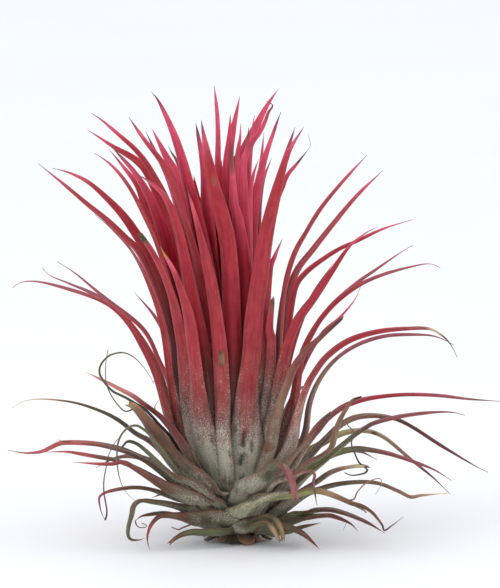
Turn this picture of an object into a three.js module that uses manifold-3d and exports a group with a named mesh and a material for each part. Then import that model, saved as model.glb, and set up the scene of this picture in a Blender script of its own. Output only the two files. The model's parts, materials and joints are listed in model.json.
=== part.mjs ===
// Air plant rosette: a short stem, a heart of slim upright leaves, outer upright leaves and low leaves.
// Units are millimetres and +Z is up. The origin is the middle of the stem's flat underside, where the
// plant stands. The front of the plant faces -Y and its right side is +X.
import * as THREE from 'three';
import { mergeVertices } from 'three/addons/utils/BufferGeometryUtils.js';
import Module from 'manifold-3d';

// Stem
const STEM_SIDES = 20;
const STEM_GAP = 0.42; // from a leaf's root to the bark
const STEM_TOP_Z = 10.6;
const STEM_TOP_RADIUS = 2.9;
const STEM_FOOT_RADIUS = 4.9; // flat underside
const SHOOT_TIP_PROFILE = [
  [0, 11],
  [3.3, 11],
  [3.5, 12.5],
  [2.9, 15],
  [1.6, 17.4],
  [0, 18.4],
];

// Where the leaves of each tier leave the stem (radius and height), how far out they belly, and how wide
// they are at the root
const TIERS = {
  shoot: { radius: 0.6, height: 15.6, belly: 2.2, rootWidth: 1.2 },
  inner: { radius: 1.3, height: 14.0, belly: 4.4, rootWidth: 1.2 },
  middle: { radius: 2.2, height: 12.2, belly: 6.6, rootWidth: 1.2 },
  second: { radius: 3.9, height: 9.8, belly: 8.9, rootWidth: 1.6 },
  outer: { radius: 4.5, height: 8.2, belly: 11.2, rootWidth: 1.5 },
  spread: { radius: 5.0, height: 6.6, belly: 13.5, rootWidth: 1.7 },
  wide: { radius: 5.4, height: 5.0, belly: 15.0, rootWidth: 1.8 },
  low: { radius: 5.7, height: 3.4, belly: 15.5, rootWidth: 1.8 },
  floor: { radius: 5.9, height: 1.9, belly: 13.0, rootWidth: 1.8 },
};

// Blades
const SIGHT_SLOPE = 0.123; // heights below are as seen from 7 degrees above the front
const STATIONS = 48; // steps along a leaf while its place is worked out
const COLLAR_OUT = 1.2; // a leaf's first short step away from the stem
const COLLAR_UP = 0.7;
const SIDES = 6;
const SEGMENTS = 12;
const BLADE_THICKNESS = 1.2;
const TIP_THICKNESS = 0.75;
const CHANNEL = 0.34; // lift of a blade's edges, as a share of half its width
const FULL_WIDTH_AT = 0.2; // share of the length
const TAPER_POWER = 2.2;
const BELLY_AT = 0.3;
const REAR_STEPS = 7;

// How leaves make room for each other
const SWEEPS = 60;
const CLEARANCE = 0.4;
const NEAR = 7; // stations farther apart than this can't touch
const ROOT_HOLD = 5; // stations near the root that give way less
const SIDEWAYS_GIVE = 0.45; // leaves give way in depth first
const GIVE_PER_SWEEP = 0.5;
const GIVE_SPREAD = [1, 2, 3, 2, 1].map((share) => share / 6); // over the neighbouring stations
const FLOOR_GAP = 0.15;
const EDGE_DROP = 0.12; // how far a blade's edge hangs below its middle, as a share of its width
const LEAF_REACH = 3; // from the middle line to the farthest skin
const TRIM_GAP = 0.5;
const TRIM_FROM = 1e-4; // overlap in cubic millimetres
const WELD = 1e-4; // vertices nearer than this are one
const MERGE_WITHIN = 1e-3; // how coarsely a finished skin may be merged
const JOIN_TRIES = 60;
const JOIN_GROWTH = 0.007; // more thickness at each try
const SMALLEST_EDGE = 0.01;

// Leaf tables: name, tier, turn of the root from the front towards the right in degrees, greatest width,
// depth (y) of the tip, then the blade's middle line from foot to tip as x and seen height.
const HEART = [
  ['heart_1', 'shoot', -60, 3.2, 3,
    [[-1.5, 36], [-2.5, 50], [-3.6, 64], [-4.2, 76], [-3.8, 82], [-4.1, 88], [-4.5, 90.8]]],
  ['heart_2', 'shoot', 180, 3, 8,
    [[0, 36], [-1, 50], [-2.5, 64], [-3, 76.8], [-2.4, 80.4], [-1.8, 83], [-1.3, 85.5]]],
  ['heart_3', 'shoot', 60, 3, 2,
    [[0.6, 36], [0.4, 50], [0.2, 64], [0.2, 76.8], [0.6, 79.5], [0.8, 83.2]]],
  ['heart_4', 'inner', -110, 3, 3, [[-4.5, 34], [-6.5, 48], [-9.5, 64], [-12.6, 76.2], [-13.8, 78.8]]],
  ['heart_5', 'inner', -55, 3.4, -4,
    [[-3, 32], [-4, 44], [-5.6, 58], [-6.6, 70.6], [-6.8, 76], [-7.6, 79.8], [-8.1, 83.2]]],
  ['heart_6', 'inner', -10, 3.6, -7,
    [[1, 36], [0.9, 50], [0.9, 64], [1.1, 74.2], [2, 77.8], [2.2, 80.6], [2.4, 82.4]]],
  ['heart_7', 'inner', 70, 3.4, 5,
    [[1.8, 38], [1.7, 52], [1.9, 66], [2.7, 77.8], [4, 80.4], [5.4, 83], [6.4, 85.8], [7.1, 87],
      [5.8, 87.8]]],
  ['heart_8', 'inner', 115, 3, 8, [[1.4, 34], [1.6, 48], [2, 62], [2.6, 74], [3.2, 83], [3.5, 85]]],
  ['heart_9', 'inner', 180, 3.4, 13,
    [[0, 36], [-0.6, 50], [-1.8, 64], [-2.5, 77.8], [-1.4, 82], [-0.4, 85.2], [0.6, 89.2]]],
  ['heart_10', 'inner', 30, 3, -4, [[1.8, 42], [2, 56], [2.5, 67], [3.2, 72.4], [4.3, 76]]],
  ['heart_11', 'middle', -64, 5, -8,
    [[-5.6, 28], [-6, 38], [-6.8, 48], [-8, 53.6], [-9.2, 58.2], [-10.7, 64.4], [-12.2, 69],
      [-14.6, 72.2], [-16.7, 76.7], [-19.4, 81], [-21.3, 84.3]]],
  ['heart_12', 'middle', -38, 4.2, -6,
    [[-3.5, 34], [-4.6, 46], [-6, 58], [-7.4, 67.4], [-10, 74.7], [-13.4, 81.9], [-15.4, 85.8],
      [-16.9, 89.3]]],
  ['heart_13', 'middle', -12, 2.8, -10,
    [[1.6, 30], [1.8, 42], [1.6, 52], [0.9, 58.2], [0, 64.4], [-0.7, 67], [-0.9, 72.4], [-1.2, 79.5]]],
  ['heart_14', 'middle', 14, 3, -11, [[5.5, 32], [6, 44], [6.8, 54.4], [7.8, 57.4], [9, 60.2]]],
  ['heart_15', 'middle', 40, 3, -12, [[6.3, 30], [7.2, 39.2], [6.4, 42.4], [7.2, 48.4]]],
  ['heart_16', 'middle', 67, 4, -2,
    [[2.9, 32], [3.1, 42], [3.4, 54], [3.8, 65.2], [5.2, 74.2], [7.5, 82], [8.7, 85.4]]],
  ['heart_17', 'middle', 135, 4, 13,
    [[6.5, 30], [7, 44], [7.5, 58], [8.8, 70], [10.7, 78.4], [11.6, 82.8]]],
  ['heart_18', 'middle', 170, 4.4, 17,
    [[1, 34], [1, 48], [0.6, 62], [0.2, 75], [1.4, 77.8], [4.6, 84.4], [6.4, 87.8], [8.3, 90.6]]],
  ['heart_19', 'middle', -160, 4, 15,
    [[-5.5, 34], [-8, 50], [-10.5, 64], [-13, 74.7], [-14.6, 77.8], [-17.1, 82.8]]],
  ['heart_20', 'middle', -128, 4, 9,
    [[-7.6, 32], [-11.5, 46], [-14, 58], [-17.2, 68.2], [-18.7, 70.6], [-21.5, 74.7], [-25, 78.8]]],
  ['heart_21', 'middle', -96, 3.4, 4,
    [[-6.3, 30], [-8, 44], [-11, 60], [-14, 72], [-16.6, 78.2], [-18.3, 81.8]]],
];

const UPRIGHT = [
  ['front_leaf_1', 'second', -29, 4.6, -12,
    [[-5.6, 24], [-6.4, 32], [-7.4, 40.8], [-8.8, 48], [-10.4, 56.8], [-12, 63.4], [-14.6, 69],
      [-17.6, 71.5], [-19.6, 72.8]]],
  ['front_leaf_2', 'second', -4, 4.8, -13,
    [[-0.7, 30], [-0.8, 40.8], [-1.3, 48], [-1.6, 58], [-1.8, 65.2], [-3.9, 72.4], [-5.4, 76],
      [-6.2, 79.8], [-7, 83.7]]],
  ['inner_left_leaf', 'second', -62, 4.6, -3,
    [[-7, 22], [-8, 30], [-9.2, 40], [-10.6, 50.6], [-14.6, 69.8], [-18.7, 76], [-21.6, 79.9],
      [-25.3, 82.6], [-28.9, 85.2]]],
  ['inner_right_leaf', 'second', 52, 4.4, 4,
    [[6.4, 30], [6.6, 42], [6.9, 54], [7.8, 65.2], [10, 72.4], [11.8, 75], [14.3, 78.2], [14, 81.4]],
    { segments: 24 }],
  ['front_leaf_3', 'outer', -41, 5.4, -15,
    [[-5, 12.6], [-7, 20], [-8, 28.6], [-8.4, 34.8], [-10, 45.4], [-12.2, 53], [-14.6, 57.4],
      [-15, 58.6]]],
  ['front_leaf_4', 'outer', -17, 4.6, -15,
    [[-3, 20], [-3, 28.6], [-3.3, 34.8], [-3.8, 40.8], [-5.4, 53.6], [-8.4, 65.2], [-9.8, 70.4]]],
  ['front_leaf_5', 'outer', 7, 5.4, -13,
    [[0.8, 20], [1.2, 28], [2, 31.6], [3.8, 40.8], [4.8, 50], [5.6, 58], [7.6, 68.8], [10, 76.8],
      [13.3, 82.6]]],
  ['front_leaf_6', 'second', 24, 4.4, -9,
    [[4.6, 18], [7.4, 26], [8.6, 33], [9.8, 41.4], [11.9, 45.4], [15.1, 49], [19, 53.8], [23, 59.2],
      [28, 62.8]]],
  ['front_leaf_7', 'outer', 38, 4.2, -17,
    [[5.6, 12], [8, 18.6], [8.8, 26.6], [10.4, 33], [13.5, 38], [17, 41.2], [21, 44.7]],
    { blunt: 0.35 }],
  ['right_leaf_1', 'outer', 75, 4, -4,
    [[10.5, 30], [11, 44.2], [12.6, 51.8], [15.1, 54.4], [19, 57], [24.6, 60.2], [34.7, 64]]],
  ['right_leaf_2', 'outer', 98, 4, 9,
    [[8.6, 28], [9.4, 42], [11.2, 54.4], [13.8, 60.8], [17, 66.4], [20.8, 71.6], [25.8, 77.2]],
    { segments: 24 }],
  ['right_leaf_3', 'outer', 121, 4, 20,
    [[8.8, 30], [10.3, 45.8], [13.8, 55.6], [17, 60.8], [20.8, 65.2], [29.4, 74.3]], { segments: 24 }],
  ['left_leaf_1', 'outer', -63, 4.4, -10,
    [[-9.6, 20], [-11, 28], [-12, 38], [-13.3, 47.4], [-14.2, 52.2], [-16.8, 57.6],
      [-18.8, 61]], { blunt: 0.4 }],
  ['left_leaf_2', 'outer', -84, 4.4, -1,
    [[-10.6, 28], [-11.8, 40.8], [-13, 50], [-16.8, 61.2], [-20.7, 69.4], [-25.3, 75.4],
      [-28.3, 77.3]]],
  ['left_leaf_3', 'outer', -106, 4.2, 6,
    [[-12.2, 30], [-13.4, 39.2], [-16.2, 51.5], [-21.8, 60.8], [-28.2, 65.2], [-34, 70.4],
      [-39.6, 75.4]], { segments: 16 }],
  ['left_leaf_4', 'outer', -128, 4.2, 16,
    [[-11, 28], [-14.5, 48], [-17.4, 57], [-21.8, 64], [-28.2, 70.4], [-33, 73.2], [-37, 74.6]]],
  ['rear_left_leaf_1', 'outer', -149, 4.6, 18,
    [[-8.5, 30], [-11, 44], [-15, 58], [-18.7, 68], [-21.6, 72.6], [-25.8, 78.6]]],
  ['rear_left_leaf_2', 'outer', -170, 4.6, 22,
    [[-6.5, 30], [-8.5, 44], [-12.5, 60], [-17.6, 72.2], [-24.8, 79.3], [-30.4, 82.6]]],
  ['rear_right_leaf_1', 'outer', 168, 4.6, 25, [[2, 30], [2.5, 46], [3.5, 60], [5, 71], [7, 77]],
    { segments: 24 }],
  ['rear_right_leaf_2', 'outer', 145, 4.6, 24,
    [[4, 30], [4, 46], [4, 58], [4.4, 66], [4.8, 74], [5.4, 82]], { segments: 24 }],
];

const LEFT = [
  ['left_leaf_5', 'spread', -48, 5, -18,
    [[-4.2, 9.6], [-10.2, 13.4], [-13.2, 17.2], [-15.8, 21.2], [-17.8, 24], [-20.1, 26.4],
      [-21.4, 27.2]], { blunt: 0.3 }],
  ['left_leaf_6', 'spread', -72, 3.6, -13,
    [[-9.4, 14], [-13.6, 23.2], [-16.8, 32.8], [-19.4, 39.2], [-21.8, 44.2], [-25, 47.6],
      [-29.6, 49.6], [-37.8, 51.8], [-42, 52.2], [-44.1, 50.7]]],
  ['left_leaf_6', 'spread', -72, 3.2, -6,
    [[-12, 24], [-15.2, 42], [-18.7, 51.2], [-21.2, 57.2], [-29.6, 65]]],
  ['left_leaf_7', 'spread', -96, 3.4, 10,
    [[-11.5, 22], [-13.6, 31.2], [-15.6, 36], [-18.7, 42.4], [-26.4, 48.4], [-32.1, 53.6],
      [-36, 56.2]]],
  ['left_leaf_8', 'spread', -120, 3.4, 24,
    [[-12, 20], [-16, 34], [-22, 44], [-28, 49], [-33.6, 51.6], [-37.8, 53.4], [-39.4, 55]]],
  ['left_leaf_9', 'wide', -132, 3, 22,
    [[-15.6, 18.4], [-20, 20.8], [-24.4, 24.2], [-28.2, 25.6], [-33, 27.1], [-37.8, 27.8],
      [-42.6, 27.2], [-45.5, 25.8]]],
  ['left_leaf_10', 'wide', -60, 3, -9,
    [[-10.5, 18], [-14.8, 24.2], [-18.8, 28], [-21.6, 29.8], [-25.3, 31.4], [-29.8, 34]]],
  ['left_leaf_10', 'wide', -60, 1.7, -15,
    [[-12, 19], [-16, 24.6], [-19.8, 27.6], [-25, 30.2], [-26.8, 32.6], [-26.4, 35.6], [-24.2, 37.2],
      [-20.4, 37], [-17.5, 33.8], [-16.2, 31.2]], { segments: 24 }],
  ['left_leaf_11', 'wide', -84, 4, -14,
    [[-15.6, 13.4], [-18.7, 16.2], [-23.8, 18.4], [-28.2, 19.4], [-33, 19.6], [-36.2, 19],
      [-38.4, 17.7], [-42.2, 17.7], [-45, 18.2]], { segments: 16 }],
  ['left_leaf_11', 'wide', -84, 3.4, -8,
    [[-17.1, 11.4], [-21.8, 14.4], [-25, 16], [-29.8, 16.9], [-34.6, 17.7], [-38, 17.5]]],
  ['left_leaf_12', 'wide', -36, 3.2, -17,
    [[-11, 13], [-15.5, 17.2], [-17.8, 19.2], [-20.1, 20], [-22.2, 19.8]]],
  ['left_curl', 'low', -24, 1.8, -17,
    [[-8, 9], [-13, 16], [-17.8, 22.2], [-20.7, 23], [-22.8, 20.1], [-23.4, 16.8], [-23.2, 13.8],
      [-22.4, 11.4], [-20, 7.8]], { segments: 24 }],
  ['left_leaf_13', 'low', -48, 3.8, -20,
    [[-6, 8], [-12.4, 9.6], [-15.6, 11.8], [-18.7, 14.4], [-22.4, 16.2], [-28.2, 15.8], [-32.3, 15.9]]],
  ['left_leaf_14', 'low', -72, 2.4, -17,
    [[-9, 8], [-15.6, 8.2], [-18.7, 10.6], [-22.6, 10.6], [-25.8, 9.6], [-27, 8.2], [-26.8, 6.2],
      [-25.6, 4.4]], { segments: 16 }],
  ['left_leaf_15', 'floor', -60, 2.6, -21,
    [[-8, 5], [-13.4, 6.4], [-16, 7.8], [-18.6, 8], [-20, 7.2], [-20.6, 4.8], [-21, 2.2], [-20.4, 0.6],
      [-17.8, 1.2]], { segments: 24 }],
  ['left_leaf_15', 'floor', -60, 2.6, -12, [[-9, 5], [-14.6, 5.8], [-17, 5.6], [-20.3, 4]]],
  ['left_leaf_16', 'floor', -36, 4.4, -16,
    [[-4.4, 4.8], [-9.8, 5.8], [-13.4, 5.8], [-15.4, 4.8], [-17, 2.8], [-17.6, 0.8], [-17.2, -1.5]]],
  ['left_leaf_17', 'floor', -12, 3.4, -15,
    [[-4.4, 3.2], [-9.4, 2], [-11.6, 1], [-13.2, -0.4]], { blunt: 0.3 }],
];

const RIGHT = [
  ['right_leaf_4', 'spread', 48, 3.8, -19,
    [[9.6, 17.2], [12.6, 25.8], [14.8, 31.8], [17, 35], [20.4, 38.2], [25, 40.6], [29.7, 42],
      [38, 42.4], [41.8, 39.6], [43.1, 36.5]]],
  ['right_leaf_5', 'spread', 72, 3.8, -8,
    [[11.2, 24], [12.6, 36.2], [14.4, 39.2], [16.5, 43.6], [19.6, 48], [23.7, 50.8], [33.2, 54.6],
      [38, 55.2], [40.1, 54.4]]],
  ['right_leaf_6', 'spread', 96, 3.4, 8,
    [[10, 16], [14, 23.6], [14.8, 26.8], [17.6, 33.2], [20.4, 36.4], [25, 38.9], [34.4, 41.2],
      [40.8, 40.2], [43.4, 39]]],
  ['right_leaf_7', 'spread', 120, 3.4, 25,
    [[11, 26], [13.5, 38], [18, 46], [24.4, 51.5], [30, 55.6], [35.6, 59.4]]],
  ['right_leaf_7', 'spread', 120, 3, 15,
    [[10, 24], [13, 34], [17, 41], [21.2, 44.8], [24, 48.4], [24.8, 50.8]]],
  ['right_leaf_8', 'spread', 22, 4.8, -20,
    [[0.4, 8.1], [1.2, 12], [3.4, 14.6], [6, 16], [8, 15.8], [9.6, 14.2], [10.4, 12],
      [11.6, 8.2]], { segments: 16 }],
  ['right_leaf_9', 'wide', 60, 4, -18,
    [[12.6, 16.6], [18.7, 18.4], [19.2, 20.7], [20, 23.8], [22, 27.4], [24.6, 29]]],
  ['right_leaf_9', 'wide', 60, 3.4, -13, [[10, 15], [14, 22.2], [17.8, 25.4]], { blunt: 0.4 }],
  ['right_leaf_10', 'wide', 84, 3.8, -12,
    [[13.4, 17.6], [15.4, 21], [18.6, 24.8], [22.4, 27.1], [31.3, 29.4], [40.8, 29], [47.2, 28.4],
      [52, 27.9]]],
  ['right_leaf_11', 'wide', 108, 3.4, 4,
    [[15.4, 17.6], [17.8, 20.7], [21.4, 23.5], [26.8, 24.8], [32, 24.2], [34.8, 22.2], [42.4, 17.4],
      [50.2, 13.2]]],
  ['right_leaf_12', 'wide', 36, 3.4, -18,
    [[7, 12], [11.9, 13.4], [15, 14], [15.4, 12.4], [15, 10.7]], { segments: 16 }],
  ['right_leaf_13', 'wide', 132, 3.2, 22,
    [[12.6, 17], [19.9, 20.2], [23, 21.4], [28, 21.1], [33.8, 17.6], [40.2, 11.2], [43.1, 8.4]]],
  ['right_leaf_14', 'low', 96, 3.2, -6,
    [[13, 13], [20.4, 18.3], [25.1, 22], [31.2, 24.4], [37, 25.4], [45.2, 25]]],
  ['right_leaf_15', 'low', 120, 3, 13,
    [[16.2, 14.8], [18.6, 16.2], [24, 17.8], [31.6, 16.6], [39.8, 13.6], [43.1, 11.4]]],
  ['right_leaf_16', 'low', 60, 2.6, -19,
    [[16, 12.4], [18.6, 14], [23.2, 15.2], [25.4, 15.1], [25.2, 14], [21.2, 13.8]], { segments: 16 }],
  ['right_leaf_16', 'low', 60, 3, -22,
    [[16.2, 10.6], [21.8, 11.8], [28.4, 11.4], [34.2, 9], [36.4, 9.4], [41.2, 9.9]], { segments: 16 }],
  ['right_leaf_17', 'low', 24, 3.4, -26,
    [[6, 9.4], [12, 9.8], [15.4, 10.4], [18.6, 9.4], [23, 7.9], [27.7, 5.2], [29, 2.8], [30.8, 3.8],
      [33, 5.8]], { segments: 16 }],
  ['right_leaf_18', 'low', 0, 4.8, -17, [[0.4, 7], [7.4, 10.4], [9.3, 10.8]], { blunt: 0.3 }],
  ['right_leaf_19', 'floor', 60, 2.8, -18, [[9, 6], [14, 6.6], [18.6, 6.4], [24, 4.8], [29, 1.8]]],
  ['right_leaf_19', 'floor', 60, 2.4, -20, [[9, 4], [18.6, 5], [22.5, 3.8], [23.8, 2.2]]],
  ['right_leaf_20', 'floor', 36, 3, -16, [[4, 4], [10, 2.6], [12.4, 2], [13.9, 0.8], [16.4, -1.5]]],
  ['right_leaf_20', 'floor', 36, 2.8, -10, [[7, 3], [11.6, 2.8], [16.6, 3.4]]],
  ['right_leaf_21', 'floor', 12, 3, -14, [[2.4, 5], [4.8, 5], [7, 3.8], [8.4, 1.4], [8.8, 0]]],
  ['right_leaf_21', 'floor', 12, 3, -18, [[1.5, 6], [6, 7.6], [10.4, 8.1]]],
];

// Leaves at the back: name, tier, turn, fan (degrees that the blade turns from there), width, length, and
// the rise in degrees at the root, half way and at the tip
const REAR = [
  ['rear_leaf_1', 'spread', -156, -14, 3.6, 62, 42, 62, 20],
  ['rear_leaf_1', 'spread', -156, 6, 3.4, 50, 46, 66, 35],
  ['rear_leaf_2', 'spread', 156, -4, 3.6, 56, 46, 68, 35],
  ['rear_leaf_2', 'spread', 156, 20, 3.4, 58, 42, 60, 25],
  ['rear_leaf_3', 'wide', 180, -22, 3.4, 48, 32, 40, -15],
  ['rear_leaf_3', 'wide', 180, 0, 3.4, 46, 32, 42, -20],
  ['rear_leaf_3', 'wide', 180, 24, 3.2, 50, 32, 38, -10],
  ['rear_leaf_4', 'low', -152, -14, 3.2, 44, 22, 24, -28],
  ['rear_leaf_4', 'low', -152, 12, 3.2, 38, 22, 26, -35],
  ['rear_leaf_5', 'low', 152, -12, 3.2, 42, 22, 24, -30],
  ['rear_leaf_5', 'low', 152, 14, 3.2, 38, 22, 22, -30],
  ['rear_leaf_6', 'floor', 180, -24, 3.2, 28, 12, 10, -20],
  ['rear_leaf_6', 'floor', 180, 24, 3.2, 30, 12, 12, -24],
];
const REAR_SWAY = 9; // degrees that a rear leaf may turn aside
const REAR_SEED = 7;

const COLOURS = {
  stem: [0x5b4a38, 0.85],
  heart: [0xa8303f, 0.5],
  upright: [0x9c3644, 0.5],
  spread: [0x8a4a48, 0.55],
  low: [0x77705a, 0.62],
};

const wasm = await Module();
wasm.setup();

const radians = THREE.MathUtils.degToRad;
const smooth = (x) => THREE.MathUtils.smoothstep(x, 0, 1);

function onStem(tier, turn, out = 0, up = 0) {
  const radius = tier.radius + out;
  return new THREE.Vector3(radius * Math.sin(turn), -radius * Math.cos(turn), tier.height + up);
}

// A seen path gets its depth: out from the root to the tier's belly, then on to the tip
function seenLeaf([name, tierName, turnDegrees, width, tipDepth, seen, options = {}]) {
  const tier = TIERS[tierName];
  const turn = radians(turnDegrees);
  const root = onStem(tier, turn);
  const collar = onStem(tier, turn, COLLAR_OUT, COLLAR_UP);
  const bellyDepth = -tier.belly * Math.cos(turn);
  const reach = [Math.hypot(seen[0][0] - root.x, seen[0][1] - root.z)];
  for (let i = 1; i < seen.length; i++) {
    reach.push(reach[i - 1] + Math.hypot(seen[i][0] - seen[i - 1][0], seen[i][1] - seen[i - 1][1]));
  }
  const points = seen.map(([x, height], i) => {
    const share = reach[i] / reach.at(-1);
    const depth = share < BELLY_AT
      ? THREE.MathUtils.lerp(root.y, bellyDepth, smooth(share / BELLY_AT))
      : THREE.MathUtils.lerp(bellyDepth, tipDepth, (share - BELLY_AT) / (1 - BELLY_AT));
    return new THREE.Vector3(x, depth, height - SIGHT_SLOPE * depth);
  });
  return { name, tier, turn, width, ...options, path: [root, collar, ...points] };
}

// A rear leaf follows its rise: steep at the root, then arching over towards the tip
function rearLeaf([name, tierName, turnDegrees, fan, width, length, rootRise, midRise, tipRise], draw) {
  const tier = TIERS[tierName];
  const turn = radians(turnDegrees);
  const sway = radians(REAR_SWAY) * (2 * draw() - 1);
  const fanned = radians(fan);
  const path = [onStem(tier, turn)];
  let { radius, height } = tier;
  for (let i = 1; i <= REAR_STEPS; i++) {
    const share = (i - 0.5) / REAR_STEPS;
    const rise = share < 0.5
      ? THREE.MathUtils.lerp(rootRise, midRise, share * 2)
      : THREE.MathUtils.lerp(midRise, tipRise, share * 2 - 1);
    radius += (length / REAR_STEPS) * Math.cos(radians(rise));
    height += (length / REAR_STEPS) * Math.sin(radians(rise));
    const side = turn + fanned * smooth((2 * i) / REAR_STEPS) + sway * (i / REAR_STEPS) ** 2;
    path.push(new THREE.Vector3(radius * Math.sin(side), -radius * Math.cos(side), height));
  }
  return { name, tier, turn, width, path };
}

function seededDraw(seed) {
  let state = seed;
  return () => {
    state = (state * 16807) % 2147483647;
    return state / 2147483647;
  };
}

function widthAt(leaf, share) {
  const swell = leaf.tier.rootWidth + (leaf.width - leaf.tier.rootWidth) * smooth(share / FULL_WIDTH_AT);
  const past = Math.max(0, (share - FULL_WIDTH_AT) / (1 - FULL_WIDTH_AT));
  return swell * (1 - (1 - (leaf.blunt ?? 0)) * past ** TAPER_POWER);
}

const thicknessAt = (share) => THREE.MathUtils.lerp(BLADE_THICKNESS, TIP_THICKNESS, share);

// Middle line, and at each station the way along, across (width) and out of the blade's upper face
function layOut(leaf) {
  leaf.line = new THREE.CatmullRomCurve3(leaf.path, false, 'catmullrom', 0.5).getSpacedPoints(STATIONS);
  leaf.start = leaf.line.map((p) => p.clone());
}

function frameOf(leaf) {
  const { line, turn } = leaf;
  const last = line.length - 1;
  let across = new THREE.Vector3(Math.cos(turn), Math.sin(turn), 0);
  return line.map((point, i) => {
    const along = line[Math.min(i + 1, last)].clone().sub(line[Math.max(i - 1, 0)]).normalize();
    across = across.clone().addScaledVector(along, -across.dot(along)).normalize();
    return { point, along, across, up: along.clone().cross(across) };
  });
}

// Three round beads across the blade at each station stand for its bulk
function beadsOf(leaf) {
  return frameOf(leaf).map(({ point, across, up }, i) => {
    const share = i / STATIONS;
    const half = widthAt(leaf, share) / 2;
    const radius = Math.max(thicknessAt(share) / 2, half / 3);
    const side = Math.max(half - radius, 0);
    const lift = half > 0 ? CHANNEL * half * (side / half) ** 2 : 0;
    return [-1, 0, 1].map((s) => ({
      centre: point.clone().addScaledVector(across, s * side).addScaledVector(up, s * s * lift),
      radius,
    }));
  });
}

// Leaves that come too near push each other apart, mostly in depth, and keep their curve
function settle(leaves) {
  for (let sweep = 0; sweep < SWEEPS; sweep++) {
    const beads = leaves.map(beadsOf);
    const boxes = boxesOf(leaves, NEAR / 2);
    const pushes = leaves.map(noPushes);
    for (let a = 0; a < leaves.length; a++) {
      for (let b = a + 1; b < leaves.length; b++) {
        if (!boxes[a].intersectsBox(boxes[b])) continue;
        pushPair(leaves[a], leaves[b], beads[a], beads[b], pushes[a], pushes[b]);
      }
    }
    leaves.forEach((leaf, i) => giveWay(leaf, pushes[i]));
  }
}

const boxesOf = (leaves, margin) => (
  leaves.map((leaf) => new THREE.Box3().setFromPoints(leaf.line).expandByScalar(margin))
);

const noPushes = () => (
  Array.from({ length: STATIONS + 1 }, () => ({ sum: new THREE.Vector3(), weight: 0 }))
);

function pushPair(leafA, leafB, beadsA, beadsB, pushesA, pushesB) {
  for (let i = 0; i <= STATIONS; i++) {
    for (let j = 0; j <= STATIONS; j++) {
      if (leafA.line[i].distanceToSquared(leafB.line[j]) > NEAR * NEAR) continue;
      for (const p of beadsA[i]) {
        for (const q of beadsB[j]) {
          const apart = q.centre.clone().sub(p.centre);
          const distance = apart.length();
          const depth = p.radius + q.radius + CLEARANCE - distance;
          if (depth <= 0 || distance === 0) continue;
          apart.multiplyScalar((depth * depth) / distance);
          pushesA[i].sum.sub(apart);
          pushesA[i].weight += depth;
          pushesB[j].sum.add(apart);
          pushesB[j].weight += depth;
        }
      }
    }
  }
}

function giveWay(leaf, pushes) {
  const moves = pushes.map(({ sum, weight }) => {
    const move = weight > 0 ? sum.divideScalar(weight) : sum;
    return new THREE.Vector3(move.x * SIDEWAYS_GIVE, move.y, move.z * SIDEWAYS_GIVE);
  });
  const last = moves.length - 1;
  const at = (i) => moves[THREE.MathUtils.clamp(i, 0, last)];
  leaf.line.forEach((point, i) => {
    const move = new THREE.Vector3();
    GIVE_SPREAD.forEach((share, k) => move.addScaledVector(at(i + k - 2), share));
    point.addScaledVector(move, smooth(i / ROOT_HOLD) * GIVE_PER_SWEEP);
  });
  const offset = leaf.line.map((point, i) => point.clone().sub(leaf.start[i]));
  leaf.line.forEach((point, i) => {
    const before = offset[Math.max(i - 1, 0)];
    const after = offset[Math.min(i + 1, last)];
    const even = before.clone().add(after).multiplyScalar(0.25).addScaledVector(offset[i], 0.5);
    if (i > 0) point.copy(leaf.start[i]).add(even);
    point.z = Math.max(point.z, floorHeight(leaf, i / STATIONS));
  });
}

const floorHeight = (leaf, share) => (
  thicknessAt(share) / 2 + FLOOR_GAP + EDGE_DROP * widthAt(leaf, share)
);

// The blade: a cone whose rings become channelled six-sided sections along the middle line
function bladeGeometry(leaf, grow = 0) {
  const segments = leaf.segments ?? SEGMENTS;
  const frames = frameOf(leaf);
  const geometry = new THREE.ConeGeometry(1, 1, SIDES, segments);
  const position = geometry.attributes.position;
  const vertex = new THREE.Vector3();
  for (let i = 0; i < position.count; i++) {
    vertex.fromBufferAttribute(position, i);
    const down = 0.5 - vertex.y;
    const ring = Math.round(down * segments) / segments;
    const share = 1 - ring;
    const { point, across, up } = frames[Math.round(share * STATIONS)];
    const round = ring > 0 ? Math.hypot(vertex.x, vertex.z) / ring : 0;
    const angle = Math.atan2(vertex.x, vertex.z);
    const half = (widthAt(leaf, share) + grow) / 2;
    const wide = round * Math.cos(angle);
    const thick = round * Math.sin(angle) * (thicknessAt(share) + grow) / 2;
    const target = point.clone().addScaledVector(across, wide * half);
    target.addScaledVector(up, thick + CHANNEL * half * wide * wide);
    position.setXYZ(i, target.x, target.y, target.z);
  }
  geometry.deleteAttribute('normal');
  geometry.deleteAttribute('uv');
  return mergeVertices(geometry, WELD);
}

function toManifold(geometry) {
  const bare = mergeVertices(geometry, WELD);
  const vertProperties = new Float32Array(bare.attributes.position.array);
  const triVerts = new Uint32Array(bare.index.array);
  return new wasm.Manifold(new wasm.Mesh({ numProp: 3, vertProperties, triVerts }));
}

function toGeometry(solid) {
  const { vertProperties, triVerts } = solid.getMesh();
  const geometry = new THREE.BufferGeometry();
  geometry.setAttribute('position', new THREE.BufferAttribute(new Float32Array(vertProperties), 3));
  geometry.setIndex(new THREE.BufferAttribute(new Uint32Array(triVerts), 1));
  geometry.computeVertexNormals();
  return geometry;
}

// The largest closed skin: scraps cut loose are dropped, and a hollow shut in by joined blades is filled
const largest = (solid) => solid.decompose().sort((a, b) => b.volume() - a.volume())[0];

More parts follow.
